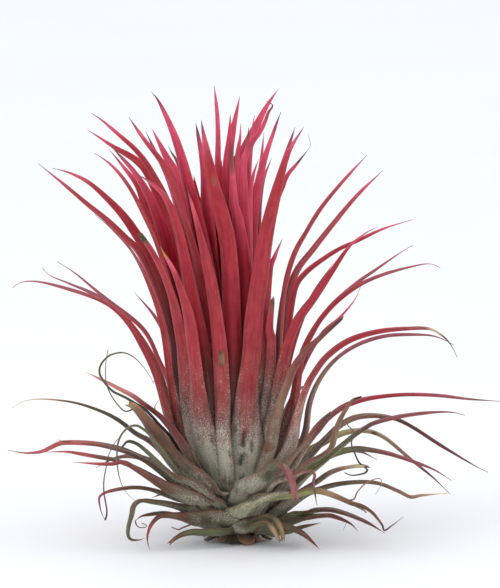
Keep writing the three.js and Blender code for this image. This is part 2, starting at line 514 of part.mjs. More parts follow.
// Edges where four faces meet, because two stretches of skin only just touch there
function pinchedEdges(bare) {
  const faces = bare.index.array;
  const uses = new Map();
  for (let i = 0; i < faces.length; i++) {
    const a = faces[i];
    const b = faces[i % 3 === 2 ? i - 2 : i + 1];
    const key = a < b ? `${a} ${b}` : `${b} ${a}`;
    uses.set(key, (uses.get(key) ?? 0) + 1);
  }
  return [...uses].filter(([, count]) => count > 2).map(([key]) => {
    const ends = key.split(' ').map(Number);
    return ends.map((end) => new THREE.Vector3().fromBufferAttribute(bare.attributes.position, end));
  });
}

// Merged as it will be used, a sound skin is one closed body that isn't pinched anywhere
function soundSkin(solid) {
  const bare = mergeVertices(toGeometry(solid).deleteAttribute('normal'), MERGE_WITHIN);
  if (pinchedEdges(bare).length > 0) return null;
  try {
    const skins = toManifold(bare).decompose();
    return skins.length === 1 ? skins[0] : null;
  } catch {
    return null;
  }
}

// Where blades graze each other a join can leave a flaw, so it is tried again with the blades a trace
// thicker
function soundJoin(makeAt) {
  for (let tried = 0; tried < JOIN_TRIES; tried++) {
    const sound = soundSkin(largest(makeAt(tried * JOIN_GROWTH)).simplify(SMALLEST_EDGE));
    if (sound) return sound;
  }
  throw new Error('no sound join was found');
}

const joined = (solids) => solids.reduce((sum, solid) => sum.add(solid));

// Outer blades are hollowed where they press on an inner one of another node
function findPressed(leaves) {
  const solids = leaves.map((leaf) => toManifold(bladeGeometry(leaf)));
  const boxes = boxesOf(leaves, LEAF_REACH);
  leaves.forEach((leaf, i) => {
    leaf.pressed = leaves.slice(0, i).filter((inner, j) => (
      inner.name !== leaf.name && boxes[i].intersectsBox(boxes[j])
        && solids[i].intersect(solids[j]).volume() > TRIM_FROM
    ));
  });
}

function leafSolid(leaf, grow) {
  const blade = toManifold(bladeGeometry(leaf, grow));
  return leaf.pressed.reduce(
    (solid, inner) => largest(solid.subtract(toManifold(bladeGeometry(inner, TRIM_GAP + grow)))),
    blade,
  );
}

function lathe(profile, sides) {
  const geometry = new THREE.LatheGeometry(profile.map(([r, z]) => new THREE.Vector2(r, z)), sides);
  geometry.rotateX(Math.PI / 2);
  geometry.deleteAttribute('normal');
  geometry.deleteAttribute('uv');
  return geometry;
}

function stemProfile() {
  const tiers = [TIERS.floor, TIERS.low, TIERS.wide, TIERS.spread, TIERS.outer];
  const side = tiers.map((tier) => [tier.radius - STEM_GAP, tier.height]);
  return [[0, 0], [STEM_FOOT_RADIUS, 0], ...side, [STEM_TOP_RADIUS, STEM_TOP_Z], [0, STEM_TOP_Z]];
}

function named(name, solid, [colour, roughness]) {
  const material = new THREE.MeshStandardMaterial({ color: colour, roughness, metalness: 0 });
  const mesh = new THREE.Mesh(toGeometry(solid), material);
  mesh.name = name;
  return mesh;
}

const draw = seededDraw(REAR_SEED);
const heart = HEART.map((row) => ({ ...seenLeaf(row), name: 'heart_leaves', colour: COLOURS.heart }));
const upright = UPRIGHT.map((row) => ({ ...seenLeaf(row), colour: COLOURS.upright }));
const sides = [...LEFT, ...RIGHT].map((row) => ({ ...seenLeaf(row), colour: COLOURS.spread }));
const rear = REAR.map((row) => ({ ...rearLeaf(row, draw), colour: COLOURS.low }));
const leaves = [...heart, ...upright, ...sides, ...rear];
leaves.forEach(layOut);
settle(leaves);

const plant = new THREE.Group();
plant.add(named('stem', toManifold(lathe(stemProfile(), STEM_SIDES)), COLOURS.stem));
findPressed(leaves);
for (const name of new Set(leaves.map((leaf) => leaf.name))) {
  const blades = leaves.filter((leaf) => leaf.name === name);
  const core = name === 'heart_leaves' ? [toManifold(lathe(SHOOT_TIP_PROFILE, STEM_SIDES))] : [];
  const solid = soundJoin((grow) => joined([...core, ...blades.map((leaf) => leafSolid(leaf, grow))]));
  plant.add(named(name, solid, blades[0].colour));
}

export default plant;
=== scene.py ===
"""Air plant rosette: fine leaves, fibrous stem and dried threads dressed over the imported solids.

Lengths in the tables are millimetres in the frame of the part: origin under the middle of the stem, the
front towards -Y, the right side +X. Every mesh is written in metres.
"""
import functools
import json
import math

import bpy
import numpy as np
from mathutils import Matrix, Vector


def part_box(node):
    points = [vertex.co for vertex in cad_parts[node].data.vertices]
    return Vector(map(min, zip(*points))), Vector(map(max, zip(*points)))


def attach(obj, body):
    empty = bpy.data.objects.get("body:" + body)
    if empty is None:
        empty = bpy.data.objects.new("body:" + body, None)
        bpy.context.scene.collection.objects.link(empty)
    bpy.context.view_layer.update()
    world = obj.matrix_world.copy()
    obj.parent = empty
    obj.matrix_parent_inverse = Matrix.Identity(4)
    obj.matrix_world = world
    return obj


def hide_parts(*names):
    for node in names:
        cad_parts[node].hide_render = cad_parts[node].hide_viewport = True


bl_info = {
    "name": "Air Plant Rosette",
    "version": (1, 0, 0),
    "blender": (4, 5, 0),
    "location": "3D View > Sidebar > Air Plant",
    "description": "Grows a bare air plant with scaled, blushing leaves on its short stem",
    "category": "Add Mesh",
}

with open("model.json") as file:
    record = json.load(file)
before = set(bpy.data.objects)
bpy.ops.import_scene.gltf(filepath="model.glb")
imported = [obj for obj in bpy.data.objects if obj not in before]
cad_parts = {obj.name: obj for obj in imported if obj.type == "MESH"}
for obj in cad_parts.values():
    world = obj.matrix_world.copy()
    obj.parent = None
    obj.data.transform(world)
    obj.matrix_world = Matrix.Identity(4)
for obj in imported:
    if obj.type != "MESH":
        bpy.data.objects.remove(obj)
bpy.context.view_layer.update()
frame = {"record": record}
MM = 0.001

# Leaf tiers: radius and height where the leaves leave the stem, how far out they belly, width at the root
TIERS = {
    "shoot": (0.6, 15.6, 2.2, 1.2),
    "inner": (1.3, 14.0, 4.4, 1.2),
    "middle": (2.2, 12.2, 6.6, 1.2),
    "second": (3.9, 9.8, 8.9, 1.6),
    "outer": (4.5, 8.2, 11.2, 1.5),
    "spread": (5.0, 6.6, 13.5, 1.7),
    "wide": (5.4, 5.0, 15.0, 1.8),
    "low": (5.7, 3.4, 15.5, 1.8),
    "floor": (5.9, 1.9, 13.0, 1.8),
}

# Blade form, as in the solids
SIGHT_SLOPE = 0.123
STATIONS = 48
COLLAR_OUT = 1.2
COLLAR_UP = 0.7
BLADE_THICKNESS = 1.2
TIP_THICKNESS = 0.75
CHANNEL = 0.34
FULL_WIDTH_AT = 0.2
TAPER_POWER = 2.2
BELLY_AT = 0.3
REAR_STEPS = 7
REAR_SWAY = 9
REAR_SEED = 7

# How leaves make room for each other, as in the solids
SWEEPS = 60
CLEARANCE = 0.4
NEAR = 7.0
ROOT_HOLD = 5
SIDEWAYS_GIVE = 0.45
GIVE_PER_SWEEP = 0.5
GIVE_SPREAD = np.array([1, 2, 3, 2, 1]) / 6
FLOOR_GAP = 0.15
EDGE_DROP = 0.12
PAIRS_KEPT_FOR = 5
PAIR_MARGIN = 1.5

# Sheaths: how far from the root they clasp the stem and how far they turn round it, width of the foot as a
# share of the full width, how far the roots are drawn in towards the axis of the stem and up to where
CLASP_TO = 13
ROUND_SHARE = 0.35
FOOT_SHARE = 0.9
TUCK = 0.4
TUCK_TO = 5

# Equal steps along a leaf are measured on this many chords
CHORDS = 200

# Numbers that stand in for a random draw: each state is the last one times the factor, modulo the modulus
DRAW_FACTOR = 16807
DRAW_MODULUS = 2147483647

# Stands in for nil where something is divided by a length
TINY = 1e-12

# Skin of the blades: least thickness, least height over the ground, the reach over which the twist sets in
# past the sheath, waves of width along a blade, and how a blunt tip is torn
LEAST_THICKNESS = 0.12
LEAST_HEIGHT = 0.06
TWIST_OVER = 20
WOBBLES = 3
TORN_OVER = 0.07
TORN_DEPTH = 0.7
TORN_MIDDLE = 0.4
TORN_WAVES = 2

# Dark line along the margins of a sheath: how far out on the blade it starts, where it comes in and fades
# out, its strength and the share of the scales that it lacks
LINE_FROM = 0.6
LINE_IN = (5, 9)
LINE_OUT = (27, 21)
LINE_STRENGTH = 0.6
LINE_BARE = 0.7

# Thin margin that lets light through: how far out on the blade it starts, where it comes in, its strength,
# and the least red of a skin that shows it
THIN_FROM = 0.8
THIN_IN = (26, 38)
THIN_STRENGTH = 0.06
THIN_LEAST_RED = 0.2

# Fringe of fine scales that stand off the skin: where they grow, how deep a foot is sunk, its radius, the
# share of them on the margins, the shortest as a share of the longest, their share of silver, and how much
# a scale leans away from the blade, towards the tip and at random
HAIR_FROM = 3
HAIR_TO = 27
HAIR_SUNK = 0.05
HAIR_RADIUS = 0.022
HAIR_ON_MARGIN = 0.55
HAIR_SHORTEST = 0.35
HAIR_SILVER = 0.75
HAIR_FROST = 0.2
LEAN_AWAY = 0.7
LEAN_AHEAD = 0.8
LEAN_ASTRAY = 0.5
HAIR_HINT = 0.01

# Dried threads: rings, sides, cover of scales, and the hint that sets their level axis
THREAD_RINGS = 70
THREAD_SIDES = 8
THREAD_FROST = 0.12
LEVEL_HINT = 1e-6

# Stem: radius and height of its side, radius of its top, which is as high as the solid's, and its ridges
STEM_FOOT = 3.9
STEM_SIDE = ((STEM_FOOT, 0), (4.3, 1), (4.7, 2.6), (4.8, 4.2), (4.7, 5.8), (4.3, 7.4), (3.8, 8.9))
STEM_TOP = 2.9
STEM_RINGS = 90
STEM_SIDES = 96
RIDGES = 23
RIDGE_DEPTH = 0.25
RIDGE_LEAN = 5
RIDGE_BREAKS = 14

# Dry leaf feet: how deep they start in the stem, height at the stem and at the end, width at the ends as a
# share of the width half way, where the narrowing stops, the power of its curve, how uneven the width is, and
# thickness as a share of the width
STUB_SUNK = 0.9
STUB_HEIGHTS = (2.7, 0.42)
STUB_END = 0.35
STUB_STOP = 0.94
STUB_POWER = 0.6
STUB_WOBBLE = 0.08
STUB_FLATNESS = 0.28

# What is added to the number of a leaf or a dry foot for the seed of each draw
WAVE_SEED = 11
TWIST_SEED = 5
TORN_SEED = 3
HAIR_SEED = 41
STUB_SEED = 30
STUB_SKIN = 90
THREAD_SKIN = 60

# Flat coordinates of a skin: how far its inner face is set aside, and the step from leaf to leaf
INNER_FACE = 40
SKIN_STEP = 7.3

# Colours before the tip: on a short leaf they draw together, to leave this much room below them, mm, but not
# closer than this share of their distance
TIP_ROOM = 5
CLOSEST_TIP = 0.3

# Grain of the skin: stretch of its flat coordinates, then scale, detail and roughness of the noise
COARSE_GRAIN = ((1, 0.4, 1), 0.9, 3, 0.6)
VEIN_GRAIN = ((1, 0.05, 1), 3.2, 3, 0.6)
BLOT_GRAIN = ((1, 0.35, 1), 0.55, 4, 0.65)
DOT_STRETCH = (1, 0.8, 1)

# What each grain does to the skin: from which to which value, and what these become
NOISE_SPAN = (0.3, 0.7)
RIM_COVER = (0.75, 1, 0, 0.3)
UNEVEN_COVER = (*NOISE_SPAN, 0.78, 1.2)
SKIN_TONE = (*NOISE_SPAN, 0.88, 1.08)
SKIN_STREAK = (*NOISE_SPAN, 0.78, 1.14)
DOT_EDGE = (-0.04, 0.08)
DOT_COVER = (0.14, 0.36)
DOT_STRENGTH = (0.1, 0.9, 0.42, 0.68)
DOT_SHAPE = (0.3, 0.62, 1, 0)
DOT_BRIGHTNESS = 1.25
BLOT_STRENGTH = (0.54, 0.68, 0, 0.7)
COVER_ROUGHNESS = (-0.06, 0.25)

# Light on the skin: sheen, gloss, the light that the flesh passes on in metres, and the parts of its relief
SHEEN_ROUGHNESS = 0.45
SHEEN_TINT = (1, 0.86, 0.88, 1)
SKIN_GLOSS = 0.2
FLESH_RADIUS = (1, 0.16, 0.14)
FLESH_SCALE = 0.0015
DOT_RELIEF = 0.8
VEIN_RELIEF = 0.7
BUMP_STRENGTH = 0.8

# Stage, in metres: the floor from its front edge to the bend, the radius of the bend, the top of the
# backdrop, half its width, the rows of each stretch, its grain and its two tints, and each light with its
# place and size
FLOOR_FRONT = -3
FLOOR_BACK = 2.5
FLOOR_BEND = 1.2
BACKDROP_TOP = 5
FLOOR_HALF_WIDTH = 5
FLAT_ROWS = 12
BEND_ROWS = 60
WALL_ROWS = 8
FLOOR_COLUMNS = 9
FLOOR_GRAIN = (8, 2, 0.5)
FLOOR_TINTS = ((246, 247, 250), (248, 249, 252))
FLOOR_ROUGHNESS = 0.6
FLOOR_GLOSS = 0.2
SKY_TINT = (250, 252, 255)
LAMPS = (
    ("roof", (0, 1, 2.6), 5),
    ("key", (-0.6, -0.5, 0.8), 0.5),
    ("fill", (0.7, -0.6, 0.4), 0.7),
)
LAMP_AIM = (0, 0, 0.04)
SENSOR_WIDTH = 36
CLIP = (0.01, 20)

# Leaf rows: node, tier, turn of the root from the front towards the right in degrees, greatest width, depth
# (y) of the tip, bluntness of the tip, look, and the middle line from foot to tip as x and height seen from
# the front
HEART = (
    ("heart_leaves", "shoot", -60, 3.4, 3, 0, "rose",
     ((-1.5, 36), (-2.5, 50), (-3.4, 64), (-4, 74), (-3.9, 80), (-4, 85.4), (-4.5, 90.8))),
    ("heart_leaves", "shoot", 180, 3.2, 8, 0, "rose",
     ((0, 36), (-0.6, 50), (-1.4, 64), (-1.8, 74.8), (-1.5, 80.4), (-1.4, 83), (-1.3, 85.5))),
    ("heart_leaves", "shoot", 60, 3, 2, 0, "rose",
     ((0.6, 36), (0.4, 50), (0.2, 64), (0.2, 76.8), (0.6, 79.5), (0.8, 83.2))),
    ("heart_leaves", "inner", -110, 3.4, 3, 0, "heart",
     ((-4.5, 34), (-6.5, 48), (-9, 64), (-11.5, 74.5), (-12.9, 77.3), (-13.6, 78.7))),
    ("heart_leaves", "inner", -55, 5, -4, 0, "heart",
     ((-3, 32), (-4.4, 44), (-5.8, 58), (-6.5, 66), (-6.7, 72.6), (-7, 75.9), (-7.6, 80.1), (-8.1, 83.2))),
    ("heart_leaves", "inner", -10, 3.6, -7, 0, "heart",
     ((1, 36), (0.9, 50), (0.9, 64), (1.1, 74.2), (2, 77.8), (2.2, 80.6), (2.4, 82.4))),
    ("heart_leaves", "inner", 70, 3.4, 5, 0, "heart",
     ((1.8, 38), (1.7, 52), (1.9, 66), (2.7, 77.8), (4, 80.4), (5.4, 83), (6.4, 85.8), (7.1, 87),
      (5.8, 87.8))),
    ("heart_leaves", "inner", 115, 3, 8, 0, "rose",
     ((1.4, 34), (1.6, 48), (2, 62), (2.6, 74), (3.2, 83), (3.5, 85))),
    ("heart_leaves", "inner", 180, 3.4, 13, 0, "rose",
     ((0, 36), (-0.6, 50), (-1.4, 64), (-1.6, 76), (-0.8, 82), (-0.2, 85.2), (0.6, 89.2))),
    ("heart_leaves", "inner", 30, 3, -4, 0, "pink",
     ((1.8, 42), (2, 56), (2.5, 67), (3.2, 72.4), (4.3, 76))),
    ("heart_leaves", "middle", -64, 4.6, -8, 0, "upright",
     ((-5.6, 28), (-6, 38), (-6.8, 48), (-8, 54), (-9.4, 60), (-10.4, 63.6), (-12, 68.9), (-14.7, 74.8),
      (-18.1, 79.5), (-21.2, 84.2))),
    ("heart_leaves", "middle", -38, 4.4, -6, 0, "heart",
     ((-3.5, 34), (-5, 46), (-7, 58), (-9, 67.6), (-10, 71.4), (-11.1, 75.9), (-12.8, 81.4), (-15.2, 87),
      (-16.8, 89.3))),
    ("heart_leaves", "middle", -12, 3.4, -10, 0, "heart",
     ((1.6, 30), (1.8, 42), (1.6, 52), (0.9, 58.2), (0, 64.4), (-0.7, 67), (-0.9, 72.4), (-1.2, 79.5))),
    ("heart_leaves", "middle", 14, 3, -11, 0, "upright",
     ((5, 32), (5.4, 44), (6.4, 53.4), (7.4, 56.4), (9, 60.2))),
    ("heart_leaves", "middle", 40, 2.8, -12, 0.3, "stump",
     ((6.3, 30), (7, 39.2), (6.6, 42.4), (7.2, 48.4))),
    ("heart_leaves", "middle", 67, 4, -2, 0, "heart",
     ((2.9, 32), (3.1, 42), (3.4, 54), (3.8, 65.2), (5.2, 74.2), (7.5, 82), (8.7, 85.4))),
    ("heart_leaves", "middle", 135, 4, 13, 0, "heart",
     ((5, 30), (5, 44), (5.4, 56), (7.2, 66), (9.2, 74.6), (11.6, 82.8))),
    ("heart_leaves", "middle", 170, 4.4, 17, 0, "rose",
     ((1, 34), (1, 48), (0.6, 62), (0.4, 75), (1.6, 77.8), (4.6, 84.4), (6.4, 87.8), (8.3, 90.6))),
    ("heart_leaves", "middle", -160, 4.6, 15, 0, "rose",
     ((-5.5, 34), (-8, 50), (-10.3, 64), (-12.6, 73.4), (-14.2, 76.7), (-17.1, 82.7))),
    ("heart_leaves", "middle", -128, 4, 9, 0, "heart",
     ((-7.6, 32), (-11.5, 46), (-14, 58), (-16.6, 66), (-18.4, 70), (-21.2, 74.4), (-25, 78.8))),
    ("heart_leaves", "middle", -96, 3.6, 4, 0, "heart",
     ((-6.3, 30), (-8, 44), (-10.6, 60), (-13.4, 71), (-16.2, 77.6), (-18.1, 81.7))),
    ("heart_leaves", "inner", -145, 4.6, 7, 0, "deep",
     ((-4, 32), (-5.6, 46), (-7, 60), (-8, 68), (-8.6, 73))),
    ("heart_leaves", "inner", -20, 4.4, -2, 0, "deep",
     ((-2, 32), (-2.8, 46), (-3.4, 60), (-3.4, 70), (-3, 76))),
    ("heart_leaves", "inner", 100, 4.6, 2, 0, "deep",
     ((3, 32), (3.6, 46), (4.2, 60), (4.8, 70), (5.8, 77))),
)

UPRIGHT = (
    ("front_leaf_1", "second", -29, 4.6, -12, 0, "shaded",
     ((-5.6, 24), (-6.4, 32), (-7.6, 40.8), (-9, 48), (-10.6, 56.8), (-12.2, 63.9), (-14.2, 68.4),
      (-17.4, 71.5), (-19.6, 72.8))),
    ("front_leaf_2", "second", -4, 4.8, -13, 0, "shaded",
     ((-0.7, 30), (-0.8, 40.8), (-1.3, 50), (-2, 59), (-3.2, 65), (-4.4, 69.6), (-5.5, 75), (-6.4, 80),
      (-7, 83.7))),
    ("inner_left_leaf", "second", -62, 4.6, -3, 0, "shaded",
     ((-7, 22), (-8, 30), (-9.2, 40), (-10.4, 52), (-13, 65), (-16.7, 72.8), (-19.7, 77.3), (-23.1, 80.6),
      (-26.6, 83.7), (-28.8, 85.2))),
    ("inner_right_leaf", "second", 52, 4.2, 4, 0, "shaded",
     ((5.4, 30), (5.4, 42), (5.6, 54), (7.2, 65.2), (9.2, 70.7), (10.1, 72.9), (11.6, 74.8), (13.1, 76.7),
      (14.3, 78.3))),
    ("front_leaf_3", "outer", -41, 5.9, -15, 0, "upright",
     ((-5, 12.6), (-6.6, 18), (-7.9, 25), (-8.4, 32), (-9, 38), (-10, 45.4), (-12.2, 53), (-14.4, 57.4),
      (-15, 58.6))),
    ("front_leaf_4", "outer", -17, 4.6, -15, 0, "upright",
     ((-3, 20), (-3, 28.6), (-3.3, 34.8), (-3.8, 40.8), (-5, 50), (-6.2, 56), (-8.4, 65.2), (-9.9, 70.6))),
    ("front_leaf_5", "outer", 7, 5.4, -13, 0, "upright",
     ((1, 14), (1.6, 18), (1.9, 25.5), (2.2, 31.3), (3, 37.1), (3.6, 44.8), (4.6, 52.5), (5.6, 60.2),
      (7.6, 68.8), (10, 76.8), (13.3, 82.4))),
    ("front_leaf_6", "second", 24, 3.6, -9, 0, "upright",
     ((5.4, 18), (7.6, 26), (8.9, 33), (10, 38), (11.6, 42.8), (13.1, 45.4), (15, 48), (18.8, 53.7),
      (22.2, 58.6), (25.6, 61.4), (27.9, 62.6))),
    ("front_leaf_7", "outer", 38, 3.1, -17, 0.3, "tan",
     ((4.8, 12), (7, 18.6), (8.4, 26), (10.2, 31.3), (11.6, 34.8), (13.8, 37.8), (16.8, 40.8),
      (20.9, 44.6))),
    ("right_leaf_1", "outer", 75, 3.6, -4, 0, "upright",
     ((9.4, 30), (10.4, 42), (11.6, 49.9), (13.1, 52.6), (15.4, 54.8), (19.9, 57.9), (23.7, 59.7),
      (29, 62.2), (34.7, 64))),
    ("right_leaf_2", "outer", 98, 4.6, 9, 0, "upright",
     ((8, 28), (8.8, 42), (9.6, 49.9), (11.4, 56.7), (13.9, 61.6), (16.9, 66.5), (21.1, 71.8),
      (25.9, 77.1))),
    ("right_leaf_3", "outer", 121, 4.2, 20, 0, "upright",
     ((8.4, 30), (9.8, 45.8), (12, 53.3), (15.5, 58.2), (19.9, 63.9), (24.5, 69.5), (29.4, 74.3))),
    ("left_leaf_1", "outer", -63, 6.4, -10, 0.4, "torn",
     ((-9.6, 20), (-10.5, 28), (-11.3, 38), (-12.9, 47.4), (-14.6, 52.8), (-16.8, 57.4), (-19.2, 61))),
    ("left_leaf_2", "outer", -84, 4.4, -1, 0, "upright",
     ((-10.6, 28), (-11.8, 40.8), (-13.2, 50), (-16.1, 59.5), (-18.3, 64.5), (-20.6, 69.2), (-22.8, 72.6),
      (-25.3, 75.3), (-28.2, 77.3))),
    ("left_leaf_3", "outer", -106, 4.2, 6, 0, "upright",
     ((-12.2, 30), (-13.6, 40), (-16.4, 50), (-19.6, 57.3), (-22.4, 60.3), (-25.8, 63.7), (-29.7, 67),
      (-34.5, 71.2), (-39.6, 75.4))),
    ("left_leaf_4", "outer", -128, 4.2, 16, 0, "upright",
     ((-11, 28), (-14.5, 48), (-18, 57), (-20, 60.6), (-23.1, 65.1), (-27, 69.2), (-30.3, 72),
      (-34, 73.8), (-37, 74.6))),
    ("rear_left_leaf_1", "outer", -149, 4.6, 18, 0, "upright",
     ((-8.5, 30), (-11, 44), (-14.6, 57), (-18.4, 66.6), (-20, 70.9), (-22.8, 74.8), (-25.7, 78.5))),
    ("rear_left_leaf_2", "outer", -170, 4.6, 22, 0, "upright",
     ((-6.5, 30), (-8.5, 44), (-12.8, 60), (-15.3, 68.1), (-18.1, 73.9), (-20.8, 76.6), (-24.5, 78.8),
      (-28.3, 81.3), (-30.3, 82.6))),
    ("rear_right_leaf_1", "outer", 168, 4.6, 25, 0, "upright",
     ((2, 30), (2.5, 46), (3.5, 60), (5, 71), (7, 77))),
    ("rear_right_leaf_2", "outer", 145, 4.6, 24, 0, "upright",
     ((4, 30), (4, 46), (4, 58), (4.4, 66), (4.8, 74), (5.4, 82))),
)

LEFT = (
    ("left_leaf_5", "spread", -48, 8.6, -18, 0.35, "rust",
     ((-4.2, 9.6), (-7.4, 11.2), (-10.2, 13.4), (-12.4, 15.4), (-14.5, 18), (-16.4, 21.1), (-18.5, 24.3),
      (-20.2, 26.6), (-21.4, 27.3))),
    ("left_leaf_6", "spread", -72, 3.6, -13, 0, "arch",
     ((-9.4, 14), (-13.4, 23.2), (-16.2, 32.8), (-18.8, 38.6), (-21.6, 43.4), (-25, 46.8), (-29.6, 49),
      (-37.8, 51.4), (-42, 51.6), (-44.1, 50.4))),
    ("left_leaf_6", "spread", -72, 3, -6, 0, "arch",
     ((-12, 24), (-14.8, 42), (-17.2, 50.4), (-20.4, 57.2), (-24.6, 62), (-28, 65))),
    ("left_leaf_7", "spread", -96, 3.2, 10, 0, "arch",
     ((-11.5, 22), (-13.6, 31.2), (-15.6, 36), (-18.9, 42.2), (-26.4, 48.4), (-32.1, 53.2), (-36, 55.8))),
    ("left_leaf_8", "spread", -120, 3.2, 24, 0, "arch",
     ((-12, 20), (-16, 34), (-22, 43.6), (-28, 48.6), (-33.6, 51.2), (-37.8, 53), (-39.4, 54.6))),
    ("left_leaf_9", "wide", -132, 3.4, 22, 0, "dusky",
     ((-13, 14.6), (-15.1, 17.1), (-17.7, 19.4), (-20.4, 20.9), (-23.8, 23.5), (-27.5, 25.4),
      (-32.8, 27.1), (-38.9, 27.8), (-43, 27.4), (-45.5, 26))),
    ("left_leaf_10", "wide", -60, 6.4, -9, 0, "blush",
     ((-10.5, 18), (-14.3, 23.5), (-16.2, 25.4), (-18.5, 27.1), (-20.7, 28.8), (-23, 30.1), (-25.3, 31.4),
      (-29.8, 33.7))),
    ("left_leaf_10", "wide", -60, 2.2, -15, 0, "thread",
     ((-12, 19), (-15.6, 23.6), (-18, 26.2), (-20, 27.5), (-22.2, 28.8), (-24.7, 30.1), (-26.8, 32.8),
      (-27, 34.6), (-26.2, 36), (-24.9, 37.1), (-23, 37.6), (-21.5, 37.4), (-20, 36.5), (-18.7, 35.2),
      (-17.3, 33.3), (-16.2, 31.4))),
    ("left_leaf_11", "wide", -84, 4, -14, 0, "coral",
     ((-13.6, 12), (-17.7, 15.4), (-20, 16.7), (-22.2, 17.7), (-24.9, 18.5), (-27.5, 19.1), (-30.2, 19.4),
      (-33, 19.5), (-35.1, 19.3), (-38.3, 17.9), (-40.7, 17.6), (-42.6, 17.7), (-45, 18.2))),
    ("left_leaf_11", "wide", -84, 3.4, -8, 0, "coral",
     ((-15.6, 11.4), (-20, 14.2), (-23.8, 15.8), (-26, 16.3), (-28.7, 16.8), (-31.3, 17.3), (-33.9, 17.7),
      (-38, 17.7))),
    ("left_leaf_12", "wide", -36, 5.2, -17, 0.2, "olive",
     ((-8, 11), (-12, 13), (-13.9, 14.4), (-15.8, 16.2), (-17.7, 18), (-19.6, 19.5), (-21.4, 20),
      (-22.6, 18.8))),
    ("left_curl", "low", -24, 2.4, -17, 0, "curl",
     ((-8, 9), (-13, 16), (-16.4, 20.6), (-18.5, 22.6), (-20, 23.2), (-21.5, 22.6), (-22.7, 21.2),
      (-23.4, 19.2), (-23.5, 16.6), (-23.3, 14), (-22.6, 11.4), (-21.6, 9.7), (-19.8, 8))),
    ("left_leaf_13", "low", -34, 4.6, -20, 0, "pinched",
     ((-5.2, 7), (-8.2, 8.2), (-10.6, 9.1), (-13, 10.2), (-15.5, 11.6), (-17.9, 13.1), (-20.3, 14.7),
      (-22.3, 15.9), (-24.4, 15.6), (-26.8, 15.6), (-29.8, 15.8), (-32.1, 16))),
    ("left_leaf_14", "low", -60, 4.2, -17, 0, "folded_brown",
     ((-8, 7), (-12, 8.2), (-14.9, 9.4), (-17.3, 10.3), (-20.3, 10.7), (-23.3, 10.4), (-25.8, 9.8),
      (-27, 8.9), (-27, 7.6), (-26.6, 5.8), (-25.9, 4.4))),
    ("left_leaf_15", "floor", -48, 3.8, -21, 0, "olive",
     ((-8, 5.4), (-11.2, 6.5), (-14.2, 7.3), (-16.7, 7.8), (-18.8, 8.1), (-20.1, 7.2), (-20.6, 5.3),
      (-21.2, 3.2), (-21.3, 1.5), (-20.6, 0.6), (-18.9, 0.6), (-17.9, 1.1))),
    ("left_leaf_15", "floor", -60, 2.8, -14, 0, "moss",
     ((-9, 4.6), (-13, 5.4), (-15.2, 5.5), (-17.3, 5.3), (-18.8, 5), (-20, 4.2))),
    ("left_leaf_16", "floor", -30, 3, -17, 0, "husk",
     ((-3.6, 3.4), (-5.4, 3.8), (-8.2, 4.3), (-11.2, 4.8), (-13.6, 5.1), (-15.2, 4.9), (-16.5, 3.8),
      (-17.3, 2.3), (-17.6, 0.5), (-17.2, -1.5))),
    ("left_leaf_17", "floor", -12, 2.6, -15, 0.3, "moss",
     ((-4, 1.8), (-7, 1.7), (-8.8, 1.8), (-10.6, 1.4), (-12.1, 0.6), (-13.3, -0.4))),
)

